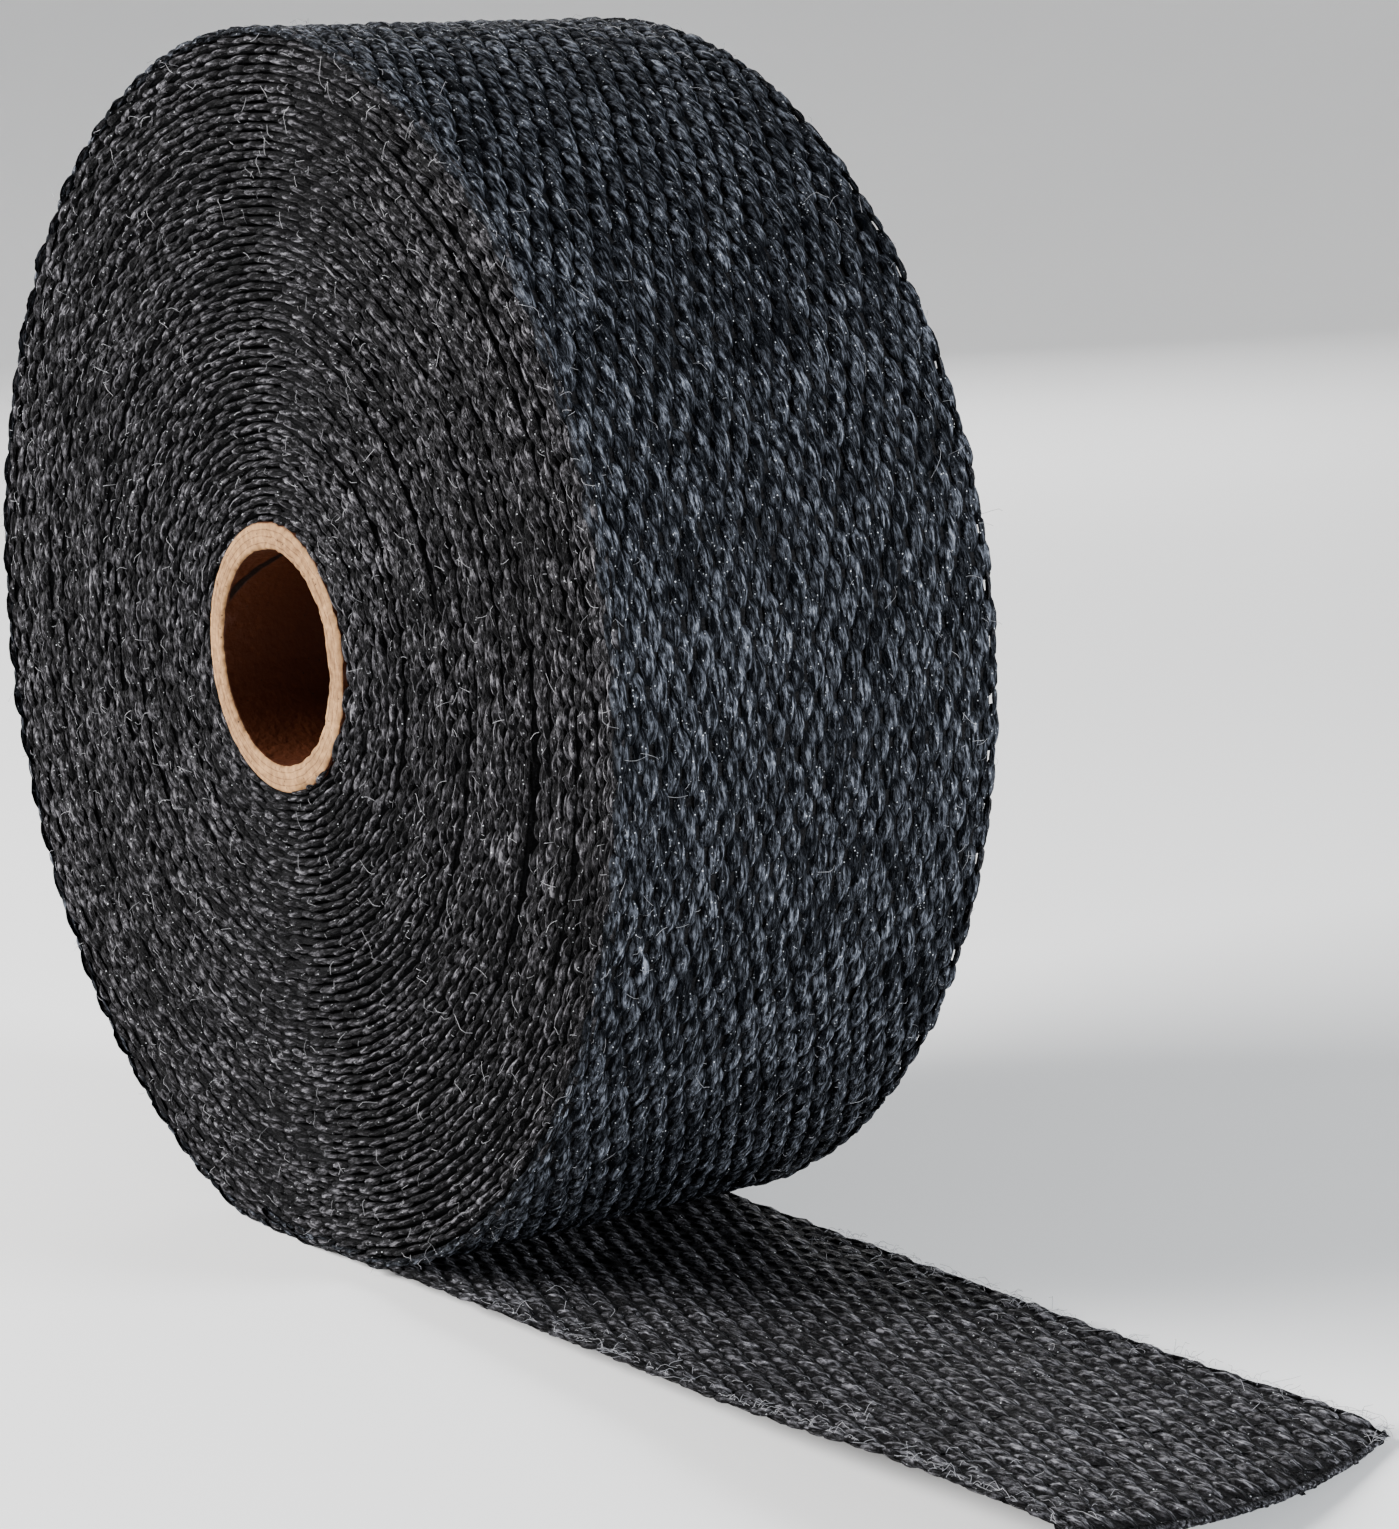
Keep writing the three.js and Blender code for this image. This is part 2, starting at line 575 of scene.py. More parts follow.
class FibreTree:
    """Geometry Nodes that give a thread of one thickness to each line of a mesh."""

    def __init__(self) -> None:
        """Build the tree."""
        tree = bpy.data.node_groups.new("spin_fibres", "GeometryNodeTree")
        sockets = tree.interface
        sockets.new_socket("Lines", in_out="INPUT", socket_type="NodeSocketGeometry")
        sockets.new_socket("Thickness", in_out="INPUT", socket_type="NodeSocketFloat")
        sockets.new_socket("Finish", in_out="INPUT", socket_type="NodeSocketMaterial")
        sockets.new_socket("Fibres", in_out="OUTPUT", socket_type="NodeSocketGeometry")
        sheet = NodeSheet(tree)
        given = sheet.add("NodeGroupInput")
        lines = sheet.add("GeometryNodeMeshToCurve")
        ring = sheet.add("GeometryNodeCurvePrimitiveCircle", mode="RADIUS")
        ring.inputs["Resolution"].default_value = 3
        half = sheet.maths("MULTIPLY", given.outputs["Thickness"], 0.5)
        tube = sheet.add("GeometryNodeCurveToMesh")
        tube.inputs["Fill Caps"].default_value = True
        realize = sheet.add("GeometryNodeRealizeInstances")
        paint = sheet.add("GeometryNodeSetMaterial")
        made = sheet.add("NodeGroupOutput")
        sheet.join(given.outputs["Lines"], lines.inputs["Mesh"])
        sheet.join(half, ring.inputs["Radius"])
        sheet.join(lines.outputs["Curve"], tube.inputs["Curve"])
        sheet.join(ring.outputs["Curve"], tube.inputs["Profile Curve"])
        sheet.join(tube.outputs["Mesh"], realize.inputs["Geometry"])
        sheet.join(realize.outputs["Geometry"], paint.inputs["Geometry"])
        sheet.join(given.outputs["Finish"], paint.inputs["Material"])
        sheet.join(paint.outputs["Geometry"], made.inputs["Fibres"])
        self.tree = tree


def grow(holder: bpy.types.Object, tree: bpy.types.NodeTree, given: dict[str, object]) -> bpy.types.Object:
    """Run a Geometry Nodes tree on an object and keep what it makes as a plain mesh.

    Args:
        holder: The object that the tree starts from. It becomes the result.
        tree: The tree.
        given: Values of the tree's named inputs.

    Returns:
        The same object, with the new mesh and no modifier.
    """
    modifier = holder.modifiers.new("grow", "NODES")
    modifier.node_group = tree
    for item in tree.interface.items_tree:
        if item.item_type == "SOCKET" and item.in_out == "INPUT" and item.name in given:
            modifier[item.identifier] = given[item.name]
    graph = bpy.context.evaluated_depsgraph_get()
    mesh = bpy.data.meshes.new_from_object(
        holder.evaluated_get(graph), preserve_all_data_layers=True, depsgraph=graph)
    holder.modifiers.remove(modifier)
    starter = holder.data
    holder.data = mesh
    mesh.name = holder.name
    bpy.data.meshes.remove(starter)
    for name in ("size", "turning"):
        if name in mesh.attributes:
            mesh.attributes.remove(mesh.attributes[name])
    mesh.shade_smooth()
    return holder


@dataclass(frozen=True)
class YarnForm:
    """One raised stretch of yarn, one unit wide, long and high, plump in its middle.

    Attributes:
        rows: Faces along the yarn.
        columns: Faces across it.
        taper: How much narrower its ends are.
    """

    rows: int
    columns: int
    taper: float = 0.55

    def build(self) -> bpy.types.Object:
        """Make the yarn, with its width along X, its length along Y and its crown along Z.

        Returns:
            The yarn.
        """
        along, across = np.meshgrid(np.linspace(-1.0, 1.0, self.rows + 1),
                                    np.linspace(-1.0, 1.0, self.columns + 1), indexing="ij")
        width = 1.0 - self.taper * np.abs(along) ** 2.6
        rise = 1.0 - 1.12 * np.abs(along) ** 2.8
        crown = np.sqrt(np.maximum(1.0 - 0.97 * across * across, 0.0))
        grid = np.stack([0.5 * across * width, 0.5 * along, rise * crown - 0.10], axis=-1)
        made = MeshShop.sheet("yarn_form", grid, (0.0, 0.0, 1.0))
        places = np.stack([0.5 + 0.5 * across, 0.5 + 0.5 * along], axis=-1).reshape(-1, 2)
        MeshShop.lay_map(made.data, "yarn_uv", places)
        return made


@dataclass
class YarnLayer:
    """Many yarns set side by side on a surface.

    Attributes:
        name: Name of the piece.
        form: Shape of one yarn.
        places: Middle of each yarn's base.
        onward: Direction along each yarn.
        facing: Direction that each yarn's crown looks.
        factors: Width, length and height of each yarn, as shares of the whole size.
        tones: Shade of each yarn, from 0 to 1; for the end faces' edge yarns and the loose end's raised yarns
            it also holds painted shade.
        size: Whole width, length and height.
        ruffle: How far the yarns' surface moves in random lumps.
    """

    name: str
    form: YarnForm
    places: np.ndarray
    onward: np.ndarray
    facing: np.ndarray
    factors: np.ndarray
    tones: np.ndarray
    size: tuple[float, float, float]
    ruffle: float = 0.00045

    def turning(self) -> np.ndarray:
        """Find the Euler angles that set each yarn.

        Returns:
            Rows of three angles in radians.
        """
        z = unit(self.facing)
        x = unit(np.cross(self.onward, z))
        y = np.cross(z, x)
        level = np.abs(x[:, 2]) > 0.99995
        about_y = np.arcsin(np.clip(-x[:, 2], -1.0, 1.0))
        about_x = np.where(level, np.arctan2(-z[:, 1], y[:, 1]), np.arctan2(y[:, 2], z[:, 2]))
        about_z = np.where(level, 0.0, np.arctan2(x[:, 1], x[:, 0]))
        return np.stack([about_x, about_y, about_z], axis=-1)

    def build(self, tree: YarnTree, finish: bpy.types.Material) -> bpy.types.Object:
        """Set the yarns.

        Args:
            tree: The Geometry Nodes that set them.
            finish: Their material.

        Returns:
            The piece as a plain mesh.
        """
        start = bpy.data.meshes.new(self.name)
        start.from_pydata(self.places.tolist(), [], [])
        for label, values in (("turning", self.turning()), ("size", self.factors)):
            attribute = start.attributes.new(label, "FLOAT_VECTOR", "POINT")
            attribute.data.foreach_set("vector", np.ascontiguousarray(values, dtype=np.float32).ravel())
        tone = start.attributes.new("yarn_tone", "FLOAT", "POINT")
        tone.data.foreach_set("value", np.clip(self.tones, 0.0, 1.0).astype(np.float32))
        holder = put(self.name, start)
        yarn = self.form.build()
        width, length, height = self.size
        grow(holder, tree.tree, {"Yarn": yarn, "Width": width, "Length": length,
                                 "Height": height, "Ruffle": self.ruffle, "Ruffle Scale": RUFFLE_SCALE,
                                 "Finish": finish})
        starter = yarn.data
        bpy.data.objects.remove(yarn)
        bpy.data.meshes.remove(starter)
        MeshShop.keep_above_floor(holder)
        return holder


class SharedEffects:
    """Shader node groups that more than one finish uses.

    Attributes:
        twist: How far the fibres slant along a yarn.
        stretch: How often the fibres change along a yarn.
        tone_shift: How far apart the patterns of two yarns lie.
    """

    twist: float = 0.8
    stretch: float = 3.0
    tone_shift: float = 91.0

    @staticmethod
    def start(name: str, given: tuple[tuple[str, str], ...],
              made: tuple[tuple[str, str], ...]) -> NodeSheet:
        """Start a shader node group.

        Args:
            name: Name of the group.
            given: Name and kind of each input.
            made: Name and kind of each output.

        Returns:
            The group's tree, ready for nodes.
        """
        tree = bpy.data.node_groups.new(name, "ShaderNodeTree")
        for names, way in ((given, "INPUT"), (made, "OUTPUT")):
            for label, kind in names:
                tree.interface.new_socket(label, in_out=way, socket_type="NodeSocket" + kind)
        return NodeSheet(tree)

    @cached_property
    def strands(self) -> bpy.types.NodeTree:
        """Fine fibres along a yarn, as a value from 0 to 1.

        Returns:
            The node group.
        """
        sheet = self.start("yarn_strands", (("Place", "Vector"), ("Tone", "Float"), ("Count", "Float")),
                           (("Strand", "Float"),))
        given = sheet.add("NodeGroupInput")
        made = sheet.add("NodeGroupOutput")
        parts = sheet.add("ShaderNodeSeparateXYZ")
        sheet.join(given.outputs["Place"], parts.inputs[0])
        twist = sheet.maths("MULTIPLY", parts.outputs[1], self.twist)
        across = sheet.maths("ADD", sheet.maths("MULTIPLY", parts.outputs[0], given.outputs["Count"]), twist)
        along = sheet.maths("MULTIPLY", parts.outputs[1], self.stretch)
        place = sheet.add("ShaderNodeCombineXYZ")
        sheet.join(across, place.inputs[0])
        sheet.join(along, place.inputs[1])
        sheet.join(sheet.maths("MULTIPLY", given.outputs["Tone"], self.tone_shift), place.inputs[2])
        noise = sheet.add("ShaderNodeTexNoise")
        noise.inputs["Scale"].default_value = 1.0
        noise.inputs["Detail"].default_value = 3.0
        noise.inputs["Roughness"].default_value = 0.65
        sheet.join(place.outputs[0], noise.inputs["Vector"])
        sheet.join(sheet.spread(noise.outputs[0], 0.38, 0.64), made.inputs["Strand"])
        return sheet.tree

    @cached_property
    def glints(self) -> bpy.types.NodeTree:
        """Sparse specks as a mask: painted glints on the yarns, and dark nicks in the cardboard.

        Returns:
            The node group.
        """
        sheet = self.start("fibre_glints", (("Place", "Vector"), ("Scale", "Float"), ("Rarity", "Float")),
                           (("Glint", "Float"),))
        given = sheet.add("NodeGroupInput")
        made = sheet.add("NodeGroupOutput")
        cells = sheet.add("ShaderNodeTexVoronoi")
        sheet.join(given.outputs["Place"], cells.inputs["Vector"])
        sheet.join(given.outputs["Scale"], cells.inputs["Scale"])
        spot = sheet.spread(cells.outputs["Distance"], 0.12, 0.30, 1.0, 0.0)
        parts = sheet.add("ShaderNodeSeparateColor")
        sheet.join(cells.outputs["Color"], parts.inputs[0])
        chosen = sheet.maths("GREATER_THAN", parts.outputs[0], given.outputs["Rarity"])
        bright = sheet.maths("MULTIPLY", chosen, parts.outputs[1])
        sheet.join(sheet.maths("MULTIPLY", spot, bright), made.inputs["Glint"])
        return sheet.tree

    @cached_property
    def clouds(self) -> bpy.types.NodeTree:
        """Slow change of shade over a surface, as a value from 0 to 1.

        Returns:
            The node group.
        """
        sheet = self.start("slow_clouds", (("Place", "Vector"), ("Scale", "Float")), (("Cloud", "Float"),))
        given = sheet.add("NodeGroupInput")
        made = sheet.add("NodeGroupOutput")
        noise = sheet.add("ShaderNodeTexNoise")
        noise.inputs["Detail"].default_value = 4.0
        sheet.join(given.outputs["Place"], noise.inputs["Vector"])
        sheet.join(given.outputs["Scale"], noise.inputs["Scale"])
        sheet.join(sheet.spread(noise.outputs[0], 0.3, 0.7), made.inputs["Cloud"])
        return sheet.tree


class Finish:
    """What every finish shares: a material, its shader and the shared groups."""

    @staticmethod
    def begin(name: str) -> tuple[bpy.types.Material, NodeSheet, bpy.types.Node]:
        """Start a material.

        Args:
            name: Name of the material.

        Returns:
            The material, its tree and its Principled shader.
        """
        material = bpy.data.materials.new(name)
        material.use_nodes = True
        sheet = NodeSheet(material.node_tree)
        shader = material.node_tree.nodes["Principled BSDF"]
        return material, sheet, shader

    @staticmethod
    def group(sheet: NodeSheet, tree: bpy.types.NodeTree, **given: object) -> bpy.types.Node:
        """Add a shared group to a material.

        Args:
            sheet: The material's tree.
            tree: The group.
            **given: A socket or number for each of its inputs.

        Returns:
            The group's node.
        """
        node = sheet.add("ShaderNodeGroup", node_tree=tree)
        for name, value in given.items():
            if isinstance(value, bpy.types.NodeSocket):
                sheet.join(value, node.inputs[name])
            else:
                node.inputs[name].default_value = value
        return node

    @staticmethod
    def emboss(sheet: NodeSheet, shader: bpy.types.Node, height: bpy.types.NodeSocket, depth: float) -> None:
        """Give a material its fine relief.

        Args:
            sheet: The material's tree.
            shader: Its shader.
            height: Height of the relief, from 0 to 1.
            depth: Depth of the relief, in metres.
        """
        bump = sheet.add("ShaderNodeBump")
        bump.inputs["Strength"].default_value = 1.0
        bump.inputs["Distance"].default_value = depth
        sheet.join(height, bump.inputs["Height"])
        sheet.join(bump.outputs[0], shader.inputs["Normal"])


@dataclass(frozen=True)
class YarnFinish(Finish):
    """Charcoal mineral-fibre yarn, with fibres along it, painted glints, and painted shade at its sides and
    ends.

    Attributes:
        name: Name of the material.
        deep: Colour between the fibres.
        crown: Colour of the fibres on top.
        spark: Colour of the painted glints.
        strand_count: Fibres across one yarn.
        rarity: Share of the surface without painted glints.
        smooth: Roughness of the brightest fibres.
        rough: Roughness of the darkest fibres.
        gloss: Strength of the reflections.
        relief: Depth of the fibres, in metres.
        glint_scale: How fine the painted glints are.
        cloud_scale: How fine the slow change of shade is.
        tone_share: How much the yarns' own shades count.
        cloud_share: How much the slow change of shade counts.
        contrast: How sharply the fibres stand out.
        dimming: Distances from a yarn's middle where its painted shade starts and ends.
        dimmed: Share of the colour left at a yarn's sides and at its ends, as painted shade.
    """

    name: str
    deep: Colour = (0.0020, 0.0020, 0.0023, 1.0)
    crown: Colour = (0.150, 0.145, 0.160, 1.0)
    spark: Colour = (0.92, 0.95, 1.0, 1.0)
    strand_count: float = 5.0
    rarity: float = 0.90
    smooth: float = 0.38
    rough: float = 0.80
    gloss: float = 0.05
    relief: float = 0.00036
    glint_scale: float = 3000.0
    cloud_scale: float = 70.0
    tone_share: float = 0.90
    cloud_share: float = 0.50
    contrast: float = 2.2
    dimming: tuple[float, float] = (0.20, 0.46)
    dimmed: tuple[float, float] = (0.30, 0.16)

    def build(self, effects: SharedEffects) -> bpy.types.Material:
        """Make the material.

        Args:
            effects: The shared node groups.

        Returns:
            The material.
        """
        material, sheet, shader = self.begin(self.name)
        tone = sheet.add("ShaderNodeAttribute", attribute_name="yarn_tone")
        chart = sheet.add("ShaderNodeUVMap", uv_map="yarn_uv")
        space = sheet.add("ShaderNodeTexCoord")
        strand = self.group(sheet, effects.strands, Place=chart.outputs[0], Tone=tone.outputs["Fac"],
                            Count=self.strand_count).outputs[0]
        painted_glint = self.group(sheet, effects.glints, Place=space.outputs["Object"],
                           Scale=self.glint_scale, Rarity=self.rarity).outputs[0]
        cloud = self.group(sheet, effects.clouds, Place=space.outputs["Object"],
                           Scale=self.cloud_scale).outputs[0]
        lift = sheet.maths("ADD", sheet.maths("MULTIPLY", tone.outputs["Fac"], self.tone_share),
                           sheet.maths("MULTIPLY", cloud, self.cloud_share))
        lift = sheet.maths("MULTIPLY", sheet.maths("POWER", strand, self.contrast), lift)
        parts = sheet.add("ShaderNodeSeparateXYZ")
        sheet.join(chart.outputs[0], parts.inputs[0])
        # Painted shade: each yarn's colour is darkened towards its sides and its ends.
        for way, dimmed in enumerate(self.dimmed):
            aside = sheet.maths("ABSOLUTE", sheet.maths("SUBTRACT", parts.outputs[way], 0.5))
            lift = sheet.maths("MULTIPLY", lift, sheet.spread(aside, *self.dimming, 1.0, dimmed))
        colour = sheet.blend(sheet.maths("MINIMUM", lift, 1.0), self.deep, self.crown)
        # Painted glints: bright specks mixed into the base colour, strongest on the fibre crowns.
        painted_glint_mix = sheet.maths("MULTIPLY", painted_glint, sheet.spread(strand, 0.1, 0.6))
        colour = sheet.blend(painted_glint_mix, colour, self.spark)
        sheet.join(colour, shader.inputs["Base Color"])
        sheet.join(sheet.spread(strand, 0.0, 1.0, self.rough, self.smooth), shader.inputs["Roughness"])
        self.emboss(sheet, shader, strand, self.relief)
        shader.inputs["Specular IOR Level"].default_value = self.gloss
        return material


@dataclass(frozen=True)
class ShadeGroundFinish(Finish):
    """The cloth that shows between the raised yarns, coloured near black as painted shade in the gaps between
    them.

    Attributes:
        name: Name of the material.
        deep: Its darkest colour.
        pale: Its lightest colour.
        grain: How fine its grain is.
        gloss: Strength of the reflections.
        relief: Depth of the grain, in metres.
    """

    name: str = "weft_ground"
    deep: Colour = (0.0012, 0.0012, 0.0014, 1.0)
    pale: Colour = (0.0065, 0.0065, 0.0072, 1.0)
    grain: float = 2600.0
    gloss: float = 0.06
    relief: float = 0.00010

    def build(self, effects: SharedEffects) -> bpy.types.Material:
        """Make the material.

        Args:
            effects: The shared node groups.

        Returns:
            The material.
        """
        material, sheet, shader = self.begin(self.name)
        space = sheet.add("ShaderNodeTexCoord")
        fine = self.group(sheet, effects.clouds, Place=space.outputs["Object"], Scale=self.grain).outputs[0]
        sheet.join(sheet.blend(fine, self.deep, self.pale), shader.inputs["Base Color"])
        sheet.join(sheet.spread(fine, 0.0, 1.0, 0.95, 0.75), shader.inputs["Roughness"])
        shader.inputs["Specular IOR Level"].default_value = self.gloss
        self.emboss(sheet, shader, fine, self.relief)
        return material


@dataclass(frozen=True)
class CardboardFinish(Finish):
    """Spirally wound brown board: its cut rim, or its smooth wall with the seam of its paper.

    Attributes:
        name: Name of the material.
        pale: Its lightest colour.
        deep: Its darkest colour.
        seam: Strength of the seam line.
        layers: Number of paper layers that show.
        smooth: Its roughness.
        gloss: Strength of the reflections.
        fibre_share: How much its paper fibres darken it.
        stain_share: How much its stains do.
        layer_share: How much the edges of its layers do.
        layer_edge: Share of a layer that its dark edge takes up.
        fibre_scale: How fine its fibres are.
        stain_scale: How fine its stains are.
        nick_scale: How fine its dark nicks are.
        nick_rarity: Share of the surface without nicks.
        seam_start: Where the seam line starts, as a share of the way round.
        seam_slant: Share of the way round that the line winds from end to end.
        seam_fade: Distances from the line's middle where it starts and ends to fade.
        line_colour: Colour of the seam line and of the nicks.
        relief: Depth of the paper's grain, in metres.
    """

    name: str
    pale: Colour
    deep: Colour
    seam: float = 0.0
    layers: float = 4.0
    smooth: float = 0.8
    gloss: float = 0.15
    fibre_share: float = 0.60
    stain_share: float = 0.40
    layer_share: float = 0.55
    layer_edge: float = 0.22
    fibre_scale: float = 1100.0
    stain_scale: float = 160.0
    nick_scale: float = 1900.0
    nick_rarity: float = 0.80
    seam_start: float = 0.167
    seam_slant: float = 0.93
    seam_fade: tuple[float, float] = (0.009, 0.016)
    line_colour: Colour = (0.006, 0.003, 0.002, 1.0)
    relief: float = 0.00008

    def build(self, effects: SharedEffects) -> bpy.types.Material:
        """Make the material.

        Args:
            effects: The shared node groups.

        Returns:
            The material.
        """
        material, sheet, shader = self.begin(self.name)
        space = sheet.add("ShaderNodeTexCoord")
        chart = sheet.add("ShaderNodeUVMap", uv_map="tube_uv")
        parts = sheet.add("ShaderNodeSeparateXYZ")
        sheet.join(chart.outputs[0], parts.inputs[0])
        fibres, stains = (
            self.group(sheet, effects.clouds, Place=space.outputs["Object"], Scale=scale).outputs[0]
            for scale in (self.fibre_scale, self.stain_scale))
        ply = sheet.maths("FRACT", sheet.maths("MULTIPLY", parts.outputs[1], self.layers))
        edge = sheet.spread(ply, 0.0, self.layer_edge, 1.0, 0.0)
        mixed = sheet.maths("MULTIPLY", fibres, self.fibre_share)
        for mask, share in ((stains, self.stain_share), (edge, self.layer_share)):
            mixed = sheet.maths("ADD", mixed, sheet.maths("MULTIPLY", mask, share))
        wound = sheet.maths("SUBTRACT", sheet.maths("ADD", parts.outputs[0], self.seam_start),
                            sheet.maths("MULTIPLY", parts.outputs[1], self.seam_slant))
        nick = self.group(sheet, effects.glints, Place=space.outputs["Object"], Scale=self.nick_scale,
                          Rarity=self.nick_rarity).outputs[0]
        line = sheet.maths("ABSOLUTE", sheet.maths("SUBTRACT", sheet.maths("FRACT", wound), 0.5))
        line = sheet.maths("MULTIPLY", sheet.spread(line, *self.seam_fade, 1.0, 0.0), self.seam)
        colour = sheet.blend(sheet.maths("MINIMUM", mixed, 1.0), self.pale, self.deep)
        colour = sheet.blend(sheet.maths("MAXIMUM", line, nick), colour, self.line_colour)
        sheet.join(colour, shader.inputs["Base Color"])
        shader.inputs["Roughness"].default_value = self.smooth
        shader.inputs["Specular IOR Level"].default_value = self.gloss
        self.emboss(sheet, shader, sheet.maths("SUBTRACT", fibres, line), self.relief)
        return material


@dataclass(frozen=True)
class PlainGrainFinish(Finish):
    """A matte surface with a slow change of shade, for the floor and the stray fibres.

    Attributes:
        name: Name of the material.
        pale: Its lightest colour.
        deep: Its darkest colour.
        scale: How fine the change of shade is.
        rough: Its roughness.
    """

    name: str
    pale: Colour
    deep: Colour
    scale: float
    rough: float

    def build(self, effects: SharedEffects) -> bpy.types.Material:
        """Make the material.

        Args:
            effects: The shared node groups.

        Returns:
            The material.
        """
        material, sheet, shader = self.begin(self.name)
        space = sheet.add("ShaderNodeTexCoord")
        shade = self.group(sheet, effects.clouds, Place=space.outputs["Object"], Scale=self.scale).outputs[0]
        sheet.join(sheet.blend(shade, self.pale, self.deep), shader.inputs["Base Color"])
        shader.inputs["Roughness"].default_value = self.rough
        return material


@dataclass
class WoundTape:
    """The wound part of the tape: its turns' edges, its outer turn and what fills it.

    Attributes:
        winding: The spiral that the tape follows.
        yarns: The Geometry Nodes that set its yarns.
        float_size: Width, length and height of a yarn on the outer face.
        bead_size: Width, length and height of a yarn at the tape's edge.
        slip: How far an edge yarn slips along the tape.
        weave: How far an edge yarn's stretches lie out and in by turns.
        sink: How far an edge yarn sinks into the end face.
        lean: How far a yarn of the edge leans at random.
        edge_steps: Points round one turn of an edge.
        edge_section: Points across a turn's edge, as a share of the tape's thickness and a depth.
        body_depth: Depth of the body behind the end faces, coloured near black as painted shade.
        body_turns: Turns outside the dark body.
        rim_inset: How far the outer turn's cloth ends inside the tape's edge.
        edge_inset: Depth of the outer turn's edge yarns, below its face and inside its edge.
    """

    winding: Winding
    yarns: YarnTree
    float_size: tuple[float, float, float] = (0.00212, 0.00520, 0.00078)
    bead_size: tuple[float, float, float] = (0.00076, 0.00400, 0.00072)
    slip: float = 0.00016
    weave: float = 0.00010
    sink: float = 0.00014
    lean: float = 0.05
    edge_steps: int = 90
    edge_section: tuple[tuple[float, float], ...] = (
        (0.06, 0.0030), (0.16, 0.00125), (0.5, 0.00095), (0.84, 0.00125), (0.94, 0.0030))
    body_depth: float = 0.0027
    body_turns: float = 2.2
    rim_inset: float = 0.00080
    edge_inset: float = 0.00066

    def body(self, finish: bpy.types.Material) -> bpy.types.Object:
        """Make the closed body behind the turns' edges and the outer turn, coloured near black as painted
        shade in the gaps between them.

        Args:
            finish: Its material.

        Returns:
            The piece.
        """
        sizes = self.winding.sizes
        inner = sizes.core_radius + 0.00005
        outer = sizes.roll_radius - self.body_turns * sizes.thickness
        deep = sizes.half_width - self.body_depth
        angle = np.linspace(0.0, TURN, 193)
        ring = [(inner, -deep), (0.5 * (inner + outer), -deep), (outer, -deep), (outer, deep),
                (0.5 * (inner + outer), deep), (inner, deep), (inner, -deep)]
        grid = np.stack([self.winding.place(angle, np.full_like(angle, r), np.full_like(angle, y))
                         for r, y in ring], axis=1)
        grid[-1] = grid[0]
        made = MeshShop.sheet("wound_body", grid, (0.0, 1.0, 0.0), finish)
        made.data.shade_flat()
        return made

    def edge(self, face: Face, finish: bpy.types.Material) -> bpy.types.Object:
        """Make the edges of all turns at one end, as one long spiral ridge.

        Args:
            face: Which end of the roll.
            finish: Its material.

        Returns:
            The piece.
        """
        sizes = self.winding.sizes
        angle = np.linspace(0.98 * TURN, sizes.turns * TURN, sizes.turns * self.edge_steps + 1)
        outer = self.winding.radius(angle)
        plane = face.value * sizes.half_width + self.winding.drift(angle)
        grid = np.stack([self.winding.place(angle, outer - share * sizes.thickness, plane - face.value * deep)
                         for share, deep in self.edge_section], axis=1)
        made = MeshShop.sheet(f"turn_edges_{face.name.lower()}", grid, (0.0, face.value, 0.0), finish)
        MeshShop.keep_above_floor(made)
        return made

    def beads(self, face: Face, form: YarnForm, finish: bpy.types.Material) -> bpy.types.Object:
        """Set the edge yarn of every turn at one end.

        Args:
            face: Which end of the roll.
            form: Shape of one stretch of the yarn.
            finish: Its material.

        Returns:
            The piece.
        """
        sizes = self.winding.sizes
        dice = np.random.default_rng(31 if face is Face.FRONT else 32)
        count = int(self.winding.length / sizes.pick)
        travel = (np.arange(count) + 0.5) * sizes.pick + dice.normal(0.0, self.slip, count)
        angle = self.winding.angle_at(np.clip(travel, 0.0, self.winding.length))
        over = over_and_under(count)
        middle = self.winding.radius(angle) - 0.5 * sizes.thickness
        radius = middle + 0.00009 * over + dice.normal(0.0, 0.00003, count)
        sink = np.abs(dice.normal(0.0, self.sink, count)) - self.weave * over
        crest = face.value * (sizes.half_width - self.bead_size[2] - sink) + self.winding.drift(angle)
        facing = np.zeros((count, 3))
        facing[:, 1] = face.value
        facing += 0.06 * over[:, None] * self.winding.outward(angle)
        facing += dice.normal(0.0, self.lean, (count, 3))
        onward = self.winding.onward(angle) + dice.normal(0.0, self.lean, (count, 3))
        factors = varied(dice, count, (1.0, 0.12), (1.0, 0.12), (1.0, 0.12))
        # Painted shade: the deeper a bead sinks into the end face, the darker its tone; the rest is tone that
        # differs at random.
        tones = 0.5 + 0.22 * Wander(33, 9.0).at(angle) + dice.normal(0.0, 0.22, count) - 700.0 * sink
        layer = YarnLayer(f"edge_yarns_{face.name.lower()}", form, self.winding.place(angle, radius, crest),
                          onward, facing, factors, tones, self.bead_size, ruffle=0.00028)
        return layer.build(self.yarns, finish)

    def outer_ground(self, finish: bpy.types.Material) -> bpy.types.Object:
        """Make the cloth under the raised yarns of the outer turn.

        Args:
            finish: Its material.

        Returns:
            The piece.
        """
        sizes = self.winding.sizes
        angle = np.linspace(0.0, 1.03 * TURN, 400)
        outer = self.winding.radius(angle)
        drift = self.winding.drift(angle)
        rim = sizes.half_width - self.rim_inset
        section = [(-rim, 0.99), (-rim, 0.86), (-rim + 0.0005, 0.74), (0.0, 0.74),
                   (rim - 0.0005, 0.74), (rim, 0.86), (rim, 0.99)]
        grid = np.stack([self.winding.place(angle, outer - share * sizes.thickness, y + drift)
                         for y, share in section], axis=1)
        made = MeshShop.sheet("outer_turn_ground", grid, (0.0, 0.0, -1.0), finish)
        MeshShop.keep_above_floor(made)
        return made

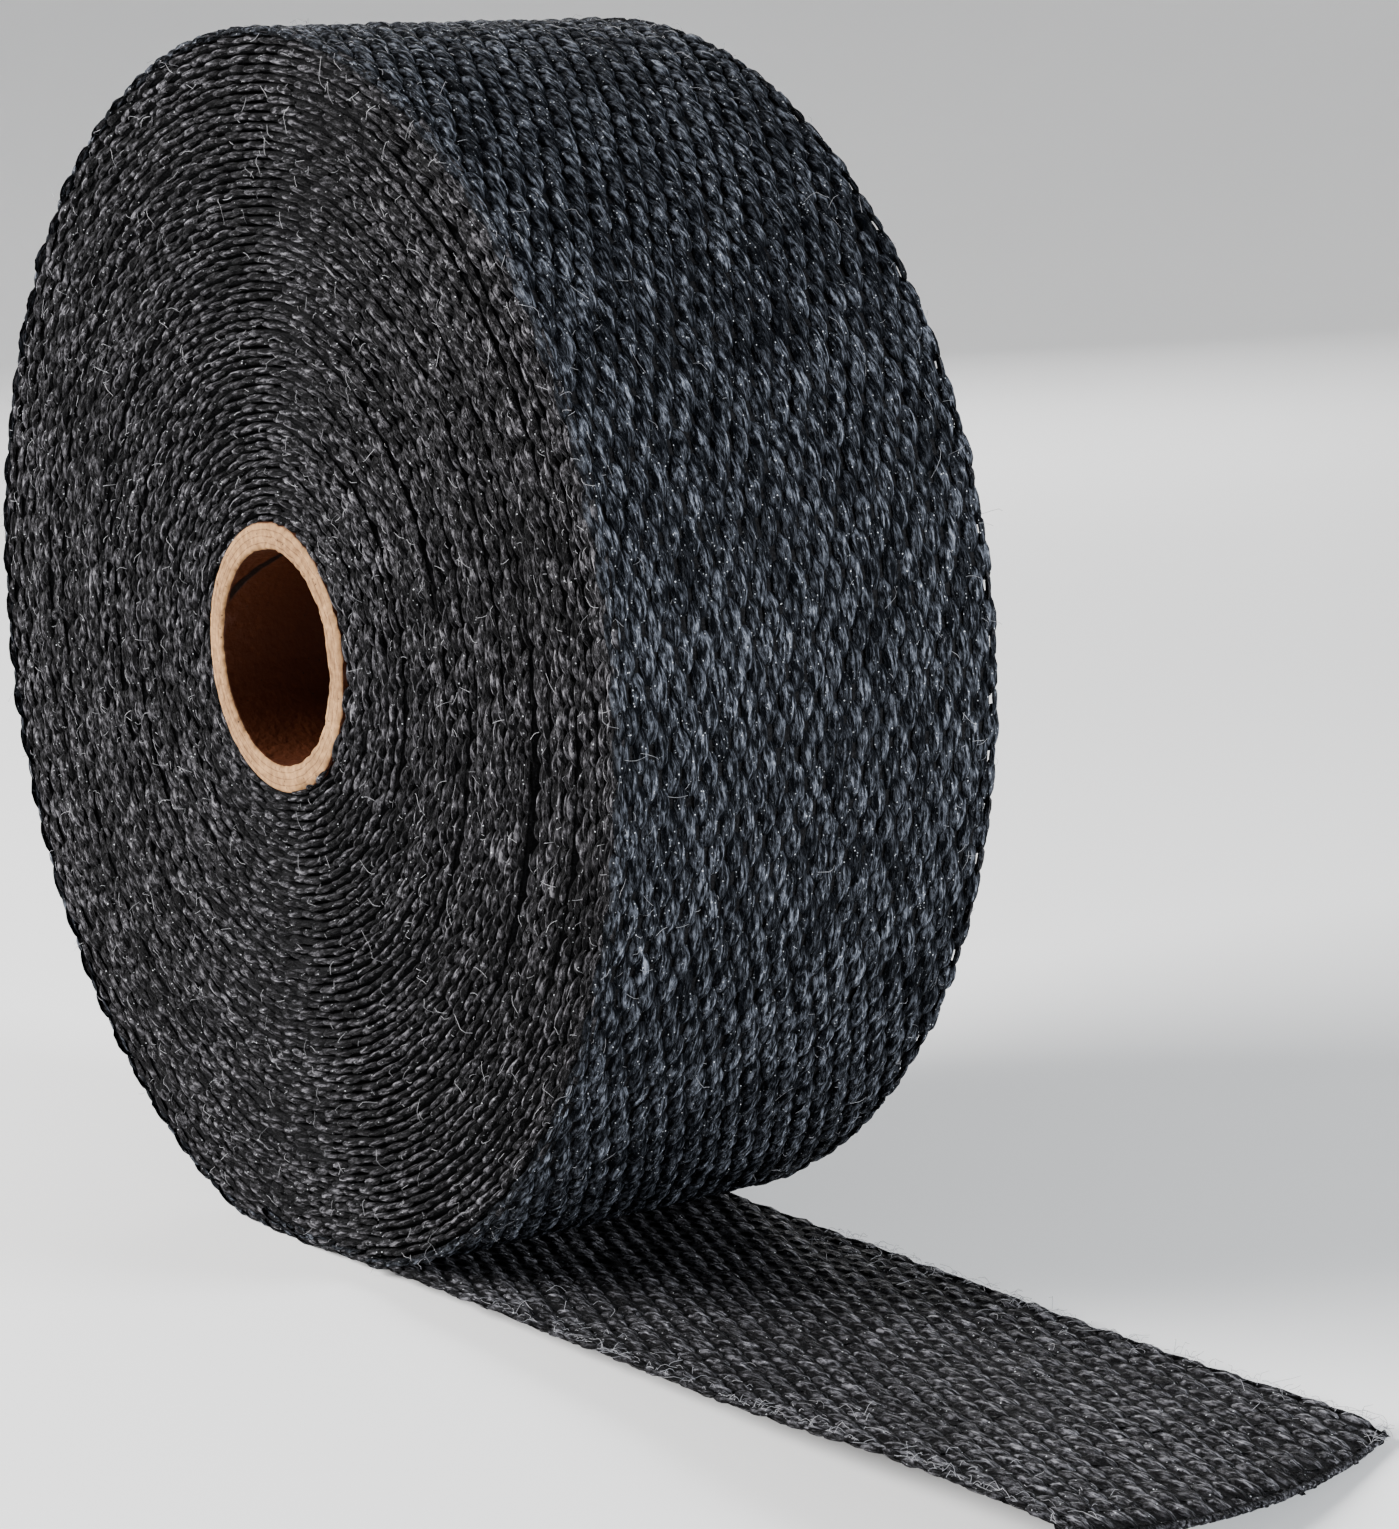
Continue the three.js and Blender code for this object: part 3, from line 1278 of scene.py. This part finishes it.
    def outer_yarns(self, part: Half, form: YarnForm, finish: bpy.types.Material) -> bpy.types.Object:
        """Set the raised yarns on the outer face of half of the outer turn.

        Args:
            part: Which half.
            form: Shape of one raised yarn.
            finish: Its material.

        Returns:
            The piece.
        """
        sizes = self.winding.sizes
        dice = np.random.default_rng(41)
        turn_length = TURN * sizes.roll_radius - 0.5 * TURN * sizes.thickness
        rows = int(1.03 * turn_length / (2.0 * sizes.pick))
        row, column = np.meshgrid(np.arange(rows), np.arange(sizes.columns), indexing="ij")
        row, column = row.ravel(), column.ravel()
        travel = (2.0 * row + column % 2 + 0.5) * sizes.pick + dice.normal(0.0, 0.00012, row.size)
        angle = self.winding.angle_at(travel)
        y = sizes.column_places()[column] + dice.normal(0.0, 0.00004, row.size) + self.winding.drift(angle)
        radius = self.winding.radius(angle) - self.float_size[2] + dice.normal(0.0, 0.00006, row.size)
        factors = varied(dice, row.size, (1.0, 0.08), (1.0, 0.06), (1.0, 0.08))
        facing = self.winding.outward(angle) + dice.normal(0.0, 0.07, (row.size, 3))
        half = row.size // 2
        kept = slice(0, half) if part is Half.START else slice(half, row.size)
        tones = 0.5 + dice.normal(0.0, 0.22, row.size)
        layer = YarnLayer(f"outer_turn_yarns_{part.name.lower()}", form,
                          self.winding.place(angle, radius, y)[kept], self.winding.onward(angle)[kept],
                          facing[kept], factors[kept], tones[kept], self.float_size)
        return layer.build(self.yarns, finish)

    def rolled_edges(self, form: YarnForm, finish: bpy.types.Material) -> bpy.types.Object:
        """Set the yarns at the two rounded edges of the outer turn.

        Args:
            form: Shape of one stretch of yarn.
            finish: Its material.

        Returns:
            The piece.
        """
        sizes = self.winding.sizes
        dice = np.random.default_rng(45)
        turn_length = 1.02 * TURN * sizes.roll_radius
        count = int(turn_length / sizes.pick)
        parts = []
        for face in Face:
            travel = (np.arange(count) + 0.5) * sizes.pick + dice.normal(0.0, self.slip, count)
            over = over_and_under(count) * face.value
            angle = self.winding.angle_at(travel)
            radius = self.winding.radius(angle) - self.edge_inset + self.weave * over
            y = face.value * (sizes.half_width - self.edge_inset + 0.00012 * over)
            y = y + self.winding.drift(angle)
            facing = 0.75 * self.winding.outward(angle)
            facing[:, 1] += 0.70 * face.value
            factors = varied(dice, count, (1.3, 0.10), (1.05, 0.08), (0.82, 0.06))
            parts.append((self.winding.place(angle, radius, y), self.winding.onward(angle), facing, factors))
        places, onward, facing, factors = (np.concatenate(column) for column in zip(*parts))
        layer = YarnLayer("outer_turn_edge_yarns", form, places, onward, facing, factors,
                          0.5 + dice.normal(0.0, 0.2, len(places)), self.bead_size)
        return layer.build(self.yarns, finish)


@dataclass
class LooseEnd:
    """The loose end of the tape, laid out on the floor, with its near edge lifted.

    Attributes:
        sizes: Sizes of the tape.
        yarns: The Geometry Nodes that set its yarns.
        float_size: Width, length and height of a raised yarn.
        bead_size: Width, length and height of a yarn at the edge.
        core_share: Lowest and highest share of the thickness that the plain cloth fills.
        cut_inset: How far the yarn ends sit inside the cut.
    """

    sizes: TapeSizes
    yarns: YarnTree
    float_size: tuple[float, float, float] = (0.00190, 0.00480, 0.00062)
    bead_size: tuple[float, float, float] = (0.00080, 0.00345, 0.00060)
    core_share: tuple[float, float] = (0.40, 0.56)
    cut_inset: float = 0.0007

    @cached_property
    def near_lift(self) -> tuple[np.ndarray, np.ndarray]:
        """Height of the near edge's underside along the loose end.

        Returns:
            Places along the loose end and the height at each.
        """
        x = np.array([0.0, 13.5, 23.0, 32.0, 41.0, 57.0, 73.0, 88.0, 102.0, 115.0, 128.0, 160.0]) / 1000.0
        z = np.array([0.0, 0.84, 1.5, 1.75, 2.1, 2.5, 2.9, 3.4, 4.15, 5.2, 5.8, 6.4]) / 1000.0
        fine = np.linspace(0.0, 0.16, 161)
        rough = np.interp(fine, x, z)
        window = np.hanning(17)
        smooth = np.convolve(np.pad(rough, 8, mode="edge"), window / window.sum(), mode="valid")
        return fine, smooth * np.clip(fine / 0.006, 0.0, 1.0)

    def end(self, share: np.ndarray) -> np.ndarray:
        """Find where the slanted cut ends the tape.

        Args:
            share: Places across the tape, 0 at the near edge and 1 at the far one.

        Returns:
            X of the cut at each place.
        """
        sizes = self.sizes
        inside = np.clip(share * sizes.width, 0.0, sizes.corner)
        bite = sizes.corner - np.sqrt(sizes.corner ** 2 - (sizes.corner - inside) ** 2)
        return sizes.reach - sizes.slant * share * share - bite

    def surface(self, x: np.ndarray, share: np.ndarray, level: float) -> np.ndarray:
        """Place points in the thickness of the laid tape.

        Args:
            x: Places along the tape.
            share: Places across it, 0 at the near edge and 1 at the far one.
            level: Share of the thickness above the underside.

        Returns:
            Points as rows of x, y and z.
        """
        fine, near = self.near_lift
        far = 0.0009 * np.clip((x - 0.075) / 0.05, 0.0, 1.0) ** 2
        wave = 0.00012 * Wander(51, 0.011).at(x) * np.clip(x / 0.03, 0.0, 1.0)
        lift = np.interp(x, fine, near) * (1.0 - share) ** 1.5 + far * share + wave * (1.0 - share)
        rolled = 0.0008 * np.clip((x - self.end(share) + 0.006) / 0.006, 0.0, 1.2) ** 2
        z = np.maximum(lift, 0.0) - np.minimum(rolled, 0.6 * lift) + level * self.sizes.thickness
        y = -self.sizes.half_width + share * self.sizes.width
        return np.stack(np.broadcast_arrays(x, y, z), axis=-1)

    def facing(self, x: np.ndarray, share: np.ndarray) -> tuple[np.ndarray, np.ndarray]:
        """Find how the laid tape slopes.

        Args:
            x: Places along the tape.
            share: Places across it.

        Returns:
            The direction along the tape and the direction that its top looks.
        """
        onward = self.surface(x + 0.0005, share, 0.0) - self.surface(x - 0.0005, share, 0.0)
        across = self.surface(x, share + 0.01, 0.0) - self.surface(x, share - 0.01, 0.0)
        return onward, np.cross(onward, across)

    def cloth(self, finish: bpy.types.Material) -> bpy.types.Object:
        """Make the plain cloth inside the raised yarns, as a closed thin sheet.

        Args:
            finish: Its material.

        Returns:
            The piece.
        """
        rows, columns = 121, 33
        share = np.linspace(0.006, 0.994, columns)[None, :]
        x = np.linspace(0.0, 1.0, rows)[:, None] * (self.end(share) - 0.0003)
        low, high = self.core_share
        under = self.surface(x, share, low)
        top = self.surface(x, share, high)
        count = rows * columns
        number = np.arange(count).reshape(rows, columns)
        rim = np.concatenate([number[0, :], number[1:, -1], number[-1, -2::-1], number[-2:0:-1, 0]])
        after = np.roll(rim, -1)
        wall = np.stack([rim, after, after + count, rim + count], axis=-1)
        faces = np.concatenate([MeshShop.grid_faces(rows, columns, flip=False),
                                MeshShop.grid_faces(rows, columns, flip=True, start=count), wall[:, ::-1]])
        points = np.concatenate([under.reshape(-1, 3), top.reshape(-1, 3)])
        made = MeshShop.make("loose_end_cloth", points, faces)
        made.data.materials.append(finish)
        MeshShop.keep_above_floor(made)
        return made

    def floats(self, side: Side, form: YarnForm, finish: bpy.types.Material) -> bpy.types.Object:
        """Set the raised yarns on one side of the loose end.

        Args:
            side: Which side.
            form: Shape of one raised yarn.
            finish: Its material.

        Returns:
            The piece.
        """
        sizes = self.sizes
        dice = np.random.default_rng(61 if side is Side.TOP else 62)
        rows = int(sizes.reach / (2.0 * sizes.pick)) + 2
        row, column = np.meshgrid(np.arange(rows), np.arange(sizes.columns), indexing="ij")
        row, column = row.ravel(), column.ravel()
        phase = (column + (0 if side is Side.TOP else 1)) % 2
        x = (2.0 * row + phase - 0.2) * sizes.pick + dice.normal(0.0, 0.00012, row.size)
        share = (column + 0.5) / sizes.columns + dice.normal(0.0, 0.0008, row.size)
        kept = (x > 0.0005) & (x < self.end(share) - 0.0008)
        x, share = x[kept], share[kept]
        room = (self.end(share) - x) / (0.5 * self.float_size[1])
        onward, top = self.facing(x, share)
        level = 1.0 - self.float_size[2] / sizes.thickness
        places = self.surface(x, share, level if side is Side.TOP else 1.0 - level)
        factors = varied(dice, x.size, (1.0, 0.08), (1.0, 0.06), (1.0, 0.10))
        factors[:, 1] *= np.clip(room - 0.05, 0.22, 1.0)
        factors[:, 2] *= np.clip(0.5 + 0.5 * room, 0.6, 1.0)
        # Painted shade: the raised yarns get darker towards the roll, where its shadow falls on the loose
        # end; the rest is tone that differs at random.
        tones = 0.42 + dice.normal(0.0, 0.22, x.size) + 3.0 * np.clip(x - 0.05, 0.0, 0.1)
        facing = side.value * unit(top)
        facing += dice.normal(0.0, 0.05, (x.size, 3))
        layer = YarnLayer(f"loose_end_yarns_{side.name.lower()}", form, places, onward, facing, factors,
                          tones, self.float_size)
        return layer.build(self.yarns, finish)

    def edges(self, form: YarnForm, finish: bpy.types.Material) -> bpy.types.Object:
        """Set the edge yarns along both sides of the loose end and the yarn ends at its cut.

        Args:
            form: Shape of one stretch of yarn.
            finish: Its material.

        Returns:
            The piece.
        """
        sizes = self.sizes
        dice = np.random.default_rng(71)
        places, onwards, facings, factors = [], [], [], []
        for share, way in ((0.0, -1.0), (1.0, 1.0)):
            last = float(self.end(np.array(0.11 if share == 0.0 else share)))
            x = np.arange(0.5 * sizes.pick, last - 0.001, sizes.pick)
            over = over_and_under(x.size)
            inset = np.full_like(x, share - way * self.bead_size[2] / sizes.width)
            base = self.surface(x, inset, 0.5)
            base[:, 2] += 0.00012 * over
            onward, _ = self.facing(x, inset)
            facing = np.zeros((x.size, 3))
            facing[:, 1] = way
            facing[:, 2] = 0.25 * over
            places.append(base)
            onwards.append(onward)
            facings.append(facing)
            factors.append(varied(dice, x.size, (1.0, 0.08), (1.0, 0.06), (1.0, 0.15)))
        share = (np.arange(sizes.columns) + 0.5) / sizes.columns
        slope = (self.end(share + 0.005) - self.end(share - 0.005)) / (0.01 * sizes.width)
        out = np.stack([np.ones_like(slope), -slope, np.zeros_like(slope)], axis=-1)
        places.append(self.surface(self.end(share) - self.cut_inset, share, 0.45))
        onwards.append(np.tile([0.0, 0.0, 1.0], (share.size, 1)))
        facings.append(out)
        factors.append(varied(dice, share.size, (2.6, 0.2), (0.27, 0.02), (0.9, 0.08)))
        points = np.concatenate(places)
        layer = YarnLayer("loose_end_edge_yarns", form, points, np.concatenate(onwards),
                          np.concatenate(facings), np.concatenate(factors),
                          0.55 + dice.normal(0.0, 0.18, len(points)), self.bead_size, ruffle=0.00026)
        return layer.build(self.yarns, finish)


@dataclass
class CardboardCore:
    """The cardboard tube in the middle of the roll.

    Attributes:
        sizes: Sizes of the tape and the core.
        steps: Points round the tube.
        rim_rings: Rings of points across a cut end.
        bore_rings: Rings of points along the bore.
        wall_rings: Rings of points along the outer wall.
        bevel: How far inside a cut end its walls begin.
        corner_wear: How far the corners of the cut ends are worn down.
        ragged: How uneven the walls and the cut ends are.
        torn_place: Angle of the torn nick in the rim.
        torn_reach: Half of its length, in radians.
        torn_radius: Radius that it reaches in to.
        torn_depth: Its depth.
    """

    sizes: TapeSizes
    steps: int = 240
    rim_rings: int = 10
    bore_rings: int = 28
    wall_rings: int = 8
    bevel: float = 0.0006
    corner_wear: float = 0.00030
    ragged: tuple[float, float] = (0.00009, 0.00012)
    torn_place: float = TURN - 0.35
    torn_reach: float = 0.09
    torn_radius: float = 0.0150
    torn_depth: float = 0.0011

    def build(self, rim: bpy.types.Material, wall: bpy.types.Material) -> bpy.types.Object:
        """Make the tube.

        Args:
            rim: Material of the cut ends.
            wall: Material of the inner and outer wall.

        Returns:
            The piece.
        """
        sizes = self.sizes
        angle = np.linspace(0.0, TURN, self.steps + 1)
        half = sizes.half_width
        inner, outer = sizes.bore_radius, sizes.core_radius
        loop: list[tuple[float, float, int]] = []
        for start, end, y in ((outer, inner, -half), (inner, outer, half)):
            shares = np.linspace(0.0, 1.0, self.rim_rings)
            loop += [(start + (end - start) * share, y, 1) for share in shares]
            side, count = (inner, self.bore_rings) if y < 0.0 else (outer, self.wall_rings)
            reach = half - self.bevel
            loop += [(side, float(place), 0) for place in np.linspace(math.copysign(reach, y),
                                                                      -math.copysign(reach, y), count)]
        loop.append(loop[0])
        rings = []
        for number, (radius, y, cut) in enumerate(loop):
            number = number % (len(loop) - 1)
            ragged = Wander(81 + number, 0.06).at(angle) * np.sin(0.5 * angle) ** 0.2
            spread = np.full_like(angle, radius) + self.ragged[0] * ragged
            place = np.full_like(angle, y)
            if cut:
                torn = np.exp(-((angle - self.torn_place) / self.torn_reach) ** 2)
                torn = torn * np.clip((radius - self.torn_radius) / (outer - self.torn_radius), 0.0, 1.0)
                at_corner = min(abs(radius - outer), abs(radius - inner)) < 1e-6
                corner = self.corner_wear if at_corner else 0.0
                worn = corner + self.torn_depth * torn + self.ragged[1] * ragged
                place = place - math.copysign(1.0, y) * worn
            rings.append(np.stack([-spread * np.sin(angle), place,
                                   sizes.axis_height - spread * np.cos(angle)], axis=-1))
        grid = np.stack(rings, axis=1)
        grid[-1] = grid[0]
        made = MeshShop.sheet("cardboard_core", grid, (0.0, 1.0, 0.0), wall, rim)
        counts = (self.rim_rings, self.bore_rings, self.rim_rings, self.wall_rings)
        across = np.concatenate([np.linspace(0.0, 1.0, count) for count in counts] + [[0.0]])
        chart = np.stack(np.broadcast_arrays(angle[:, None] / TURN, across[None, :]), axis=-1)
        MeshShop.lay_map(made.data, "tube_uv", chart.reshape(-1, 2))
        kinds = np.array([cut for _, _, cut in loop])
        both = np.minimum(kinds[:-1], kinds[1:])
        made.data.polygons.foreach_set("material_index", np.tile(both, self.steps).astype(np.int32))
        return made


@dataclass
class StrayFibres:
    """Loose fibres that stand off the cut and worn places of the tape.

    Attributes:
        winding: The spiral that the tape follows.
        loose_end: The loose end of the tape.
        tree: The Geometry Nodes that spin them.
        thickness: Thickness of one fibre.
        bends: Points along one fibre.
        lengths: Shortest length of a fibre, and how much longer the longest one is.
        rise: How far the fibres stand off, as a share of their length.
        curl: How far they curl aside, as a share of their length.
        face_counts: Number of fibres on each end face.
        outer_count: Number on the outer turn.
        tail_count: Number on the loose end.
    """

    winding: Winding
    loose_end: LooseEnd
    tree: FibreTree
    thickness: float = 0.000050
    bends: int = 5
    lengths: tuple[float, float] = (0.0005, 0.0022)
    rise: float = 0.30
    curl: float = 0.45
    face_counts: tuple[tuple[Face, int], ...] = ((Face.FRONT, 900), (Face.BACK, 300))
    outer_count: int = 420
    tail_count: int = 520

    def roots(self) -> tuple[np.ndarray, np.ndarray]:
        """Choose where the fibres start.

        Returns:
            The starts and the direction that the surface looks there.
        """
        sizes = self.winding.sizes
        dice = np.random.default_rng(91)
        starts, looks = [], []
        for face, count in self.face_counts:
            travel = dice.uniform(0.0, self.winding.length, count)
            angle = self.winding.angle_at(travel)
            radius = self.winding.radius(angle) - dice.uniform(0.1, 0.9, count) * sizes.thickness
            y = face.value * (sizes.half_width - 0.0001) + self.winding.drift(angle)
            starts.append(self.winding.place(angle, radius, y))
            look = np.zeros((count, 3))
            look[:, 1] = face.value
            looks.append(look)
        count = self.outer_count
        angle = dice.uniform(0.4, TURN - 0.5, count)
        y = sizes.half_width * np.sign(dice.uniform(-1.0, 1.0, count)) * dice.uniform(0.0, 1.0, count) ** 0.35
        starts.append(self.winding.place(angle, self.winding.radius(angle) - 0.0001, y))
        looks.append(self.winding.outward(angle))
        count = self.tail_count
        x = dice.uniform(0.04, 0.145, count)
        edge = np.where(dice.uniform(size=count) < 0.4, 0.0, 1.0)
        share = np.clip(edge + dice.normal(0.0, 0.08, count), 0.0, 1.0)
        x = np.minimum(x, self.loose_end.end(share) - 0.0005)
        starts.append(self.loose_end.surface(x, share, 0.95))
        _, top = self.loose_end.facing(x, np.clip(share, 0.02, 0.98))
        looks.append(unit(top))
        return np.concatenate(starts), np.concatenate(looks)

    def build(self, finish: bpy.types.Material) -> bpy.types.Object:
        """Spin the fibres.

        Args:
            finish: Their material.

        Returns:
            The piece as a plain mesh.
        """
        starts, looks = self.roots()
        count = len(starts)
        dice = np.random.default_rng(92)
        way = dice.normal(0.0, 1.0, (count, 3))
        way -= np.sum(way * looks, axis=-1, keepdims=True) * looks
        way = unit(way)
        aside = np.cross(looks, way)
        shortest, range_of_lengths = self.lengths
        length = (shortest + range_of_lengths * dice.uniform(0.0, 1.0, count) ** 2)[:, None]
        rise = np.abs(dice.normal(0.0, self.rise, count))[:, None]
        curl = dice.normal(0.0, self.curl, count)[:, None]
        share = np.linspace(0.0, 1.0, self.bends)
        points = np.stack([starts + length * (t * way + rise * math.sin(math.pi * min(t, 0.8)) * looks
                                              + curl * t * t * aside) for t in share], axis=1)
        points[:, :, 2] = np.maximum(points[:, :, 2], self.thickness)
        first = (np.arange(count)[:, None] * self.bends + np.arange(self.bends - 1)[None, :]).ravel()
        mesh = bpy.data.meshes.new("stray_fibres")
        mesh.from_pydata(points.reshape(-1, 3).tolist(), np.stack([first, first + 1], axis=-1).tolist(), [])
        holder = put("stray_fibres", mesh)
        grow(holder, self.tree.tree, {"Thickness": self.thickness, "Finish": finish})
        MeshShop.keep_above_floor(holder)
        return holder


@dataclass(frozen=True)
class Lamp:
    """A soft rectangular lamp.

    Attributes:
        name: Its name.
        place: Where it hangs.
        width: Its width.
        height: Its height.
        power: Its power in watts.
        colour: Its colour.
        aim: The point that it looks at.
    """

    name: str
    place: tuple[float, float, float]
    width: float
    height: float
    power: float
    colour: tuple[float, float, float] = (1.0, 1.0, 1.0)
    aim: tuple[float, float, float] = (0.03, 0.0, 0.06)

    def hang(self) -> bpy.types.Object:
        """Hang the lamp in the scene.

        Returns:
            The lamp.
        """
        data = bpy.data.lights.new(self.name, "AREA")
        data.shape = "RECTANGLE"
        data.size = self.width
        data.size_y = self.height
        data.energy = self.power
        data.color = self.colour
        lamp = put(self.name, data)
        lamp.location = self.place
        lamp.rotation_euler = (Vector(self.aim) - Vector(self.place)).to_track_quat("-Z", "Y").to_euler()
        lamp.visible_camera = False
        return lamp


@dataclass(frozen=True)
class Studio:
    """The camera, the pale floor and the soft lamps.

    Attributes:
        stand: Where the camera stands.
        yaw: Its turn about Z, in degrees.
        pitch: How far it looks down, in degrees.
        roll: Its turn about its own line of sight, in degrees.
        lens: Its focal length in millimetres, on a sensor 36 mm wide.
        lamps: The lamps.
        flat_reach: How far the floor runs flat.
        bend: Radius of the bend from the floor to the wall.
        air: Strength of the light from all round.
    """

    stand: tuple[float, float, float] = (0.406116, -0.244730, 0.139251)
    yaw: float = 55.388
    pitch: float = 10.048
    roll: float = -1.944
    lens: float = 91.773
    lamps: tuple[Lamp, ...] = (
        Lamp("window_front", (-0.42, -0.82, 0.46), 0.6, 0.45, 48.0, (1.0, 0.99, 0.98)),
        Lamp("window_side", (0.92, 0.44, 0.27), 0.32, 0.20, 25.0, (0.92, 0.96, 1.0)),
        Lamp("window_back", (-0.80, 0.62, 0.34), 0.5, 0.3, 4.0),
    )
    flat_reach: float = 0.8
    bend: float = 1.8
    air: float = 0.12

    def camera(self) -> bpy.types.Object:
        """Set up the camera of the photograph.

        Returns:
            The camera.
        """
        yaw, pitch, roll = (math.radians(value) for value in (self.yaw, self.pitch, self.roll))
        ahead = Vector((-math.sin(yaw) * math.cos(pitch), math.cos(yaw) * math.cos(pitch), -math.sin(pitch)))
        level = Vector((math.cos(yaw), math.sin(yaw), 0.0))
        upright = level.cross(ahead)
        right = math.cos(roll) * level + math.sin(roll) * upright
        up = -math.sin(roll) * level + math.cos(roll) * upright
        data = bpy.data.cameras.new("photo_camera")
        data.lens = self.lens
        data.sensor_width = 36.0
        data.clip_start = 0.01
        made = put("photo_camera", data)
        turn = Matrix((right, up, -ahead)).transposed().to_4x4()
        made.matrix_world = Matrix.Translation(self.stand) @ turn
        bpy.context.scene.camera = made
        return made

    def floor(self, finish: bpy.types.Material) -> bpy.types.Object:
        """Make the floor, which curves up into a low wall far behind the roll.

        Args:
            finish: Its material.

        Returns:
            The floor.
        """
        bend = np.linspace(0.0, 0.5 * math.pi, 25)
        far = self.flat_reach + self.bend
        radius = np.concatenate([[0.0, 0.2, 0.4, 0.6], self.flat_reach + self.bend * np.sin(bend), [far]])
        height = np.concatenate([[0.0, 0.0, 0.0, 0.0], self.bend - self.bend * np.cos(bend), [far]])
        angle = np.linspace(0.0, TURN, 97)
        grid = np.stack([radius[None, :] * np.cos(angle[:, None]), radius[None, :] * np.sin(angle[:, None]),
                         np.broadcast_to(height, (angle.size, height.size))], axis=-1)
        return MeshShop.sheet("floor", grid, (0.0, 0.0, 1.0), finish)

    def build(self, finish: bpy.types.Material) -> None:
        """Set up the whole studio.

        Args:
            finish: Material of the floor.
        """
        self.camera()
        for lamp in self.lamps:
            lamp.hang()
        self.floor(finish)
        world = bpy.data.worlds.new("studio_air")
        world.use_nodes = True
        air = world.node_tree.nodes["Background"]
        air.inputs["Color"].default_value = (0.93, 0.95, 1.0, 1.0)
        air.inputs["Strength"].default_value = self.air
        bpy.context.scene.world = world


def settle(piece: bpy.types.Object, slot: str, *stands_for: str) -> None:
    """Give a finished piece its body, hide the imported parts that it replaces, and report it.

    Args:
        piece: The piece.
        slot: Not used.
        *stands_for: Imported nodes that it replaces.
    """
    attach(piece, "root")
    if stands_for:
        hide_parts(*stands_for)
    triangles = sum(len(face.vertices) - 2 for face in piece.data.polygons)
    LOG.info("%s: %d triangles", piece.name, triangles)


def main() -> None:
    """Build the studio and every piece of the roll, in order."""
    logging.basicConfig(level=logging.INFO, format="%(message)s")
    effects = SharedEffects()
    sizes = TapeSizes()
    winding = Winding(sizes)
    yarns = YarnTree()
    floor = PlainGrainFinish("pale_floor", (0.80, 0.80, 0.80, 1.0), (0.77, 0.77, 0.77, 1.0), 3.0, 0.9)
    Studio().build(floor.build(effects))

    painted_shade_cloth = ShadeGroundFinish().build(effects)
    edge_finish = YarnFinish("edge_yarn", strand_count=2.6).build(effects)
    # The outer turn's copy of the yarn finish: its bluish crown is a painted bluish sheen, and it has more
    # painted glints than the others.
    outer_sheen_finish = YarnFinish("outer_yarn", deep=(0.0010, 0.0014, 0.0022, 1.0),
                              crown=(0.165, 0.180, 0.216, 1.0), strand_count=5.5, rarity=0.82,
                              smooth=0.34, rough=0.75, gloss=0.03).build(effects)
    laid_finish = YarnFinish("laid_yarn", crown=(0.195, 0.193, 0.215, 1.0)).build(effects)
    fine_form = YarnForm(8, 6)
    edge_form = YarnForm(6, 3, taper=0.45)
    plain_form = YarnForm(4, 3, taper=0.45)

    tape = WoundTape(winding, yarns)
    settle(tape.body(painted_shade_cloth), "woven_fibre", "heat_wrap_tape")
    settle(tape.outer_ground(painted_shade_cloth), "woven_fibre")
    for part in Half:
        settle(tape.outer_yarns(part, fine_form, outer_sheen_finish), "woven_fibre")
    settle(tape.rolled_edges(edge_form, outer_sheen_finish), "woven_fibre")
    for face, form in ((Face.FRONT, edge_form), (Face.BACK, plain_form)):
        settle(tape.edge(face, painted_shade_cloth), "woven_fibre")
        settle(tape.beads(face, form, edge_finish), "woven_fibre")

    loose_end = LooseEnd(sizes, yarns)
    cloth = loose_end.cloth(painted_shade_cloth)
    settle(cloth, "woven_fibre")
    dressing = [loose_end.floats(Side.TOP, fine_form, laid_finish),
                loose_end.floats(Side.UNDER, plain_form, laid_finish),
                loose_end.edges(edge_form, laid_finish)]
    for piece in dressing:
        settle(piece, "woven_fibre")

    rim = CardboardFinish("cut_board", (0.33, 0.185, 0.082, 1.0), (0.085, 0.040, 0.016, 1.0))
    # Painted shade: the wall is a far darker, redder brown than the rim, standing in for the shade inside the
    # bore.
    wall = CardboardFinish("board_wall", (0.085, 0.024, 0.007, 1.0), (0.045, 0.011, 0.003, 1.0), seam=1.0,
                           layers=0.0, smooth=0.55)
    core = CardboardCore(sizes).build(rim.build(effects), wall.build(effects))
    settle(core, "kraft_cardboard", "core_tube")

    fibre = PlainGrainFinish("stray_fibre", (0.30, 0.30, 0.32, 1.0), (0.10, 0.10, 0.11, 1.0), 400.0, 0.4)
    settle(StrayFibres(winding, loose_end, FibreTree()).build(fibre.build(effects)), "woven_fibre")


if __name__ == "__main__":
    main()
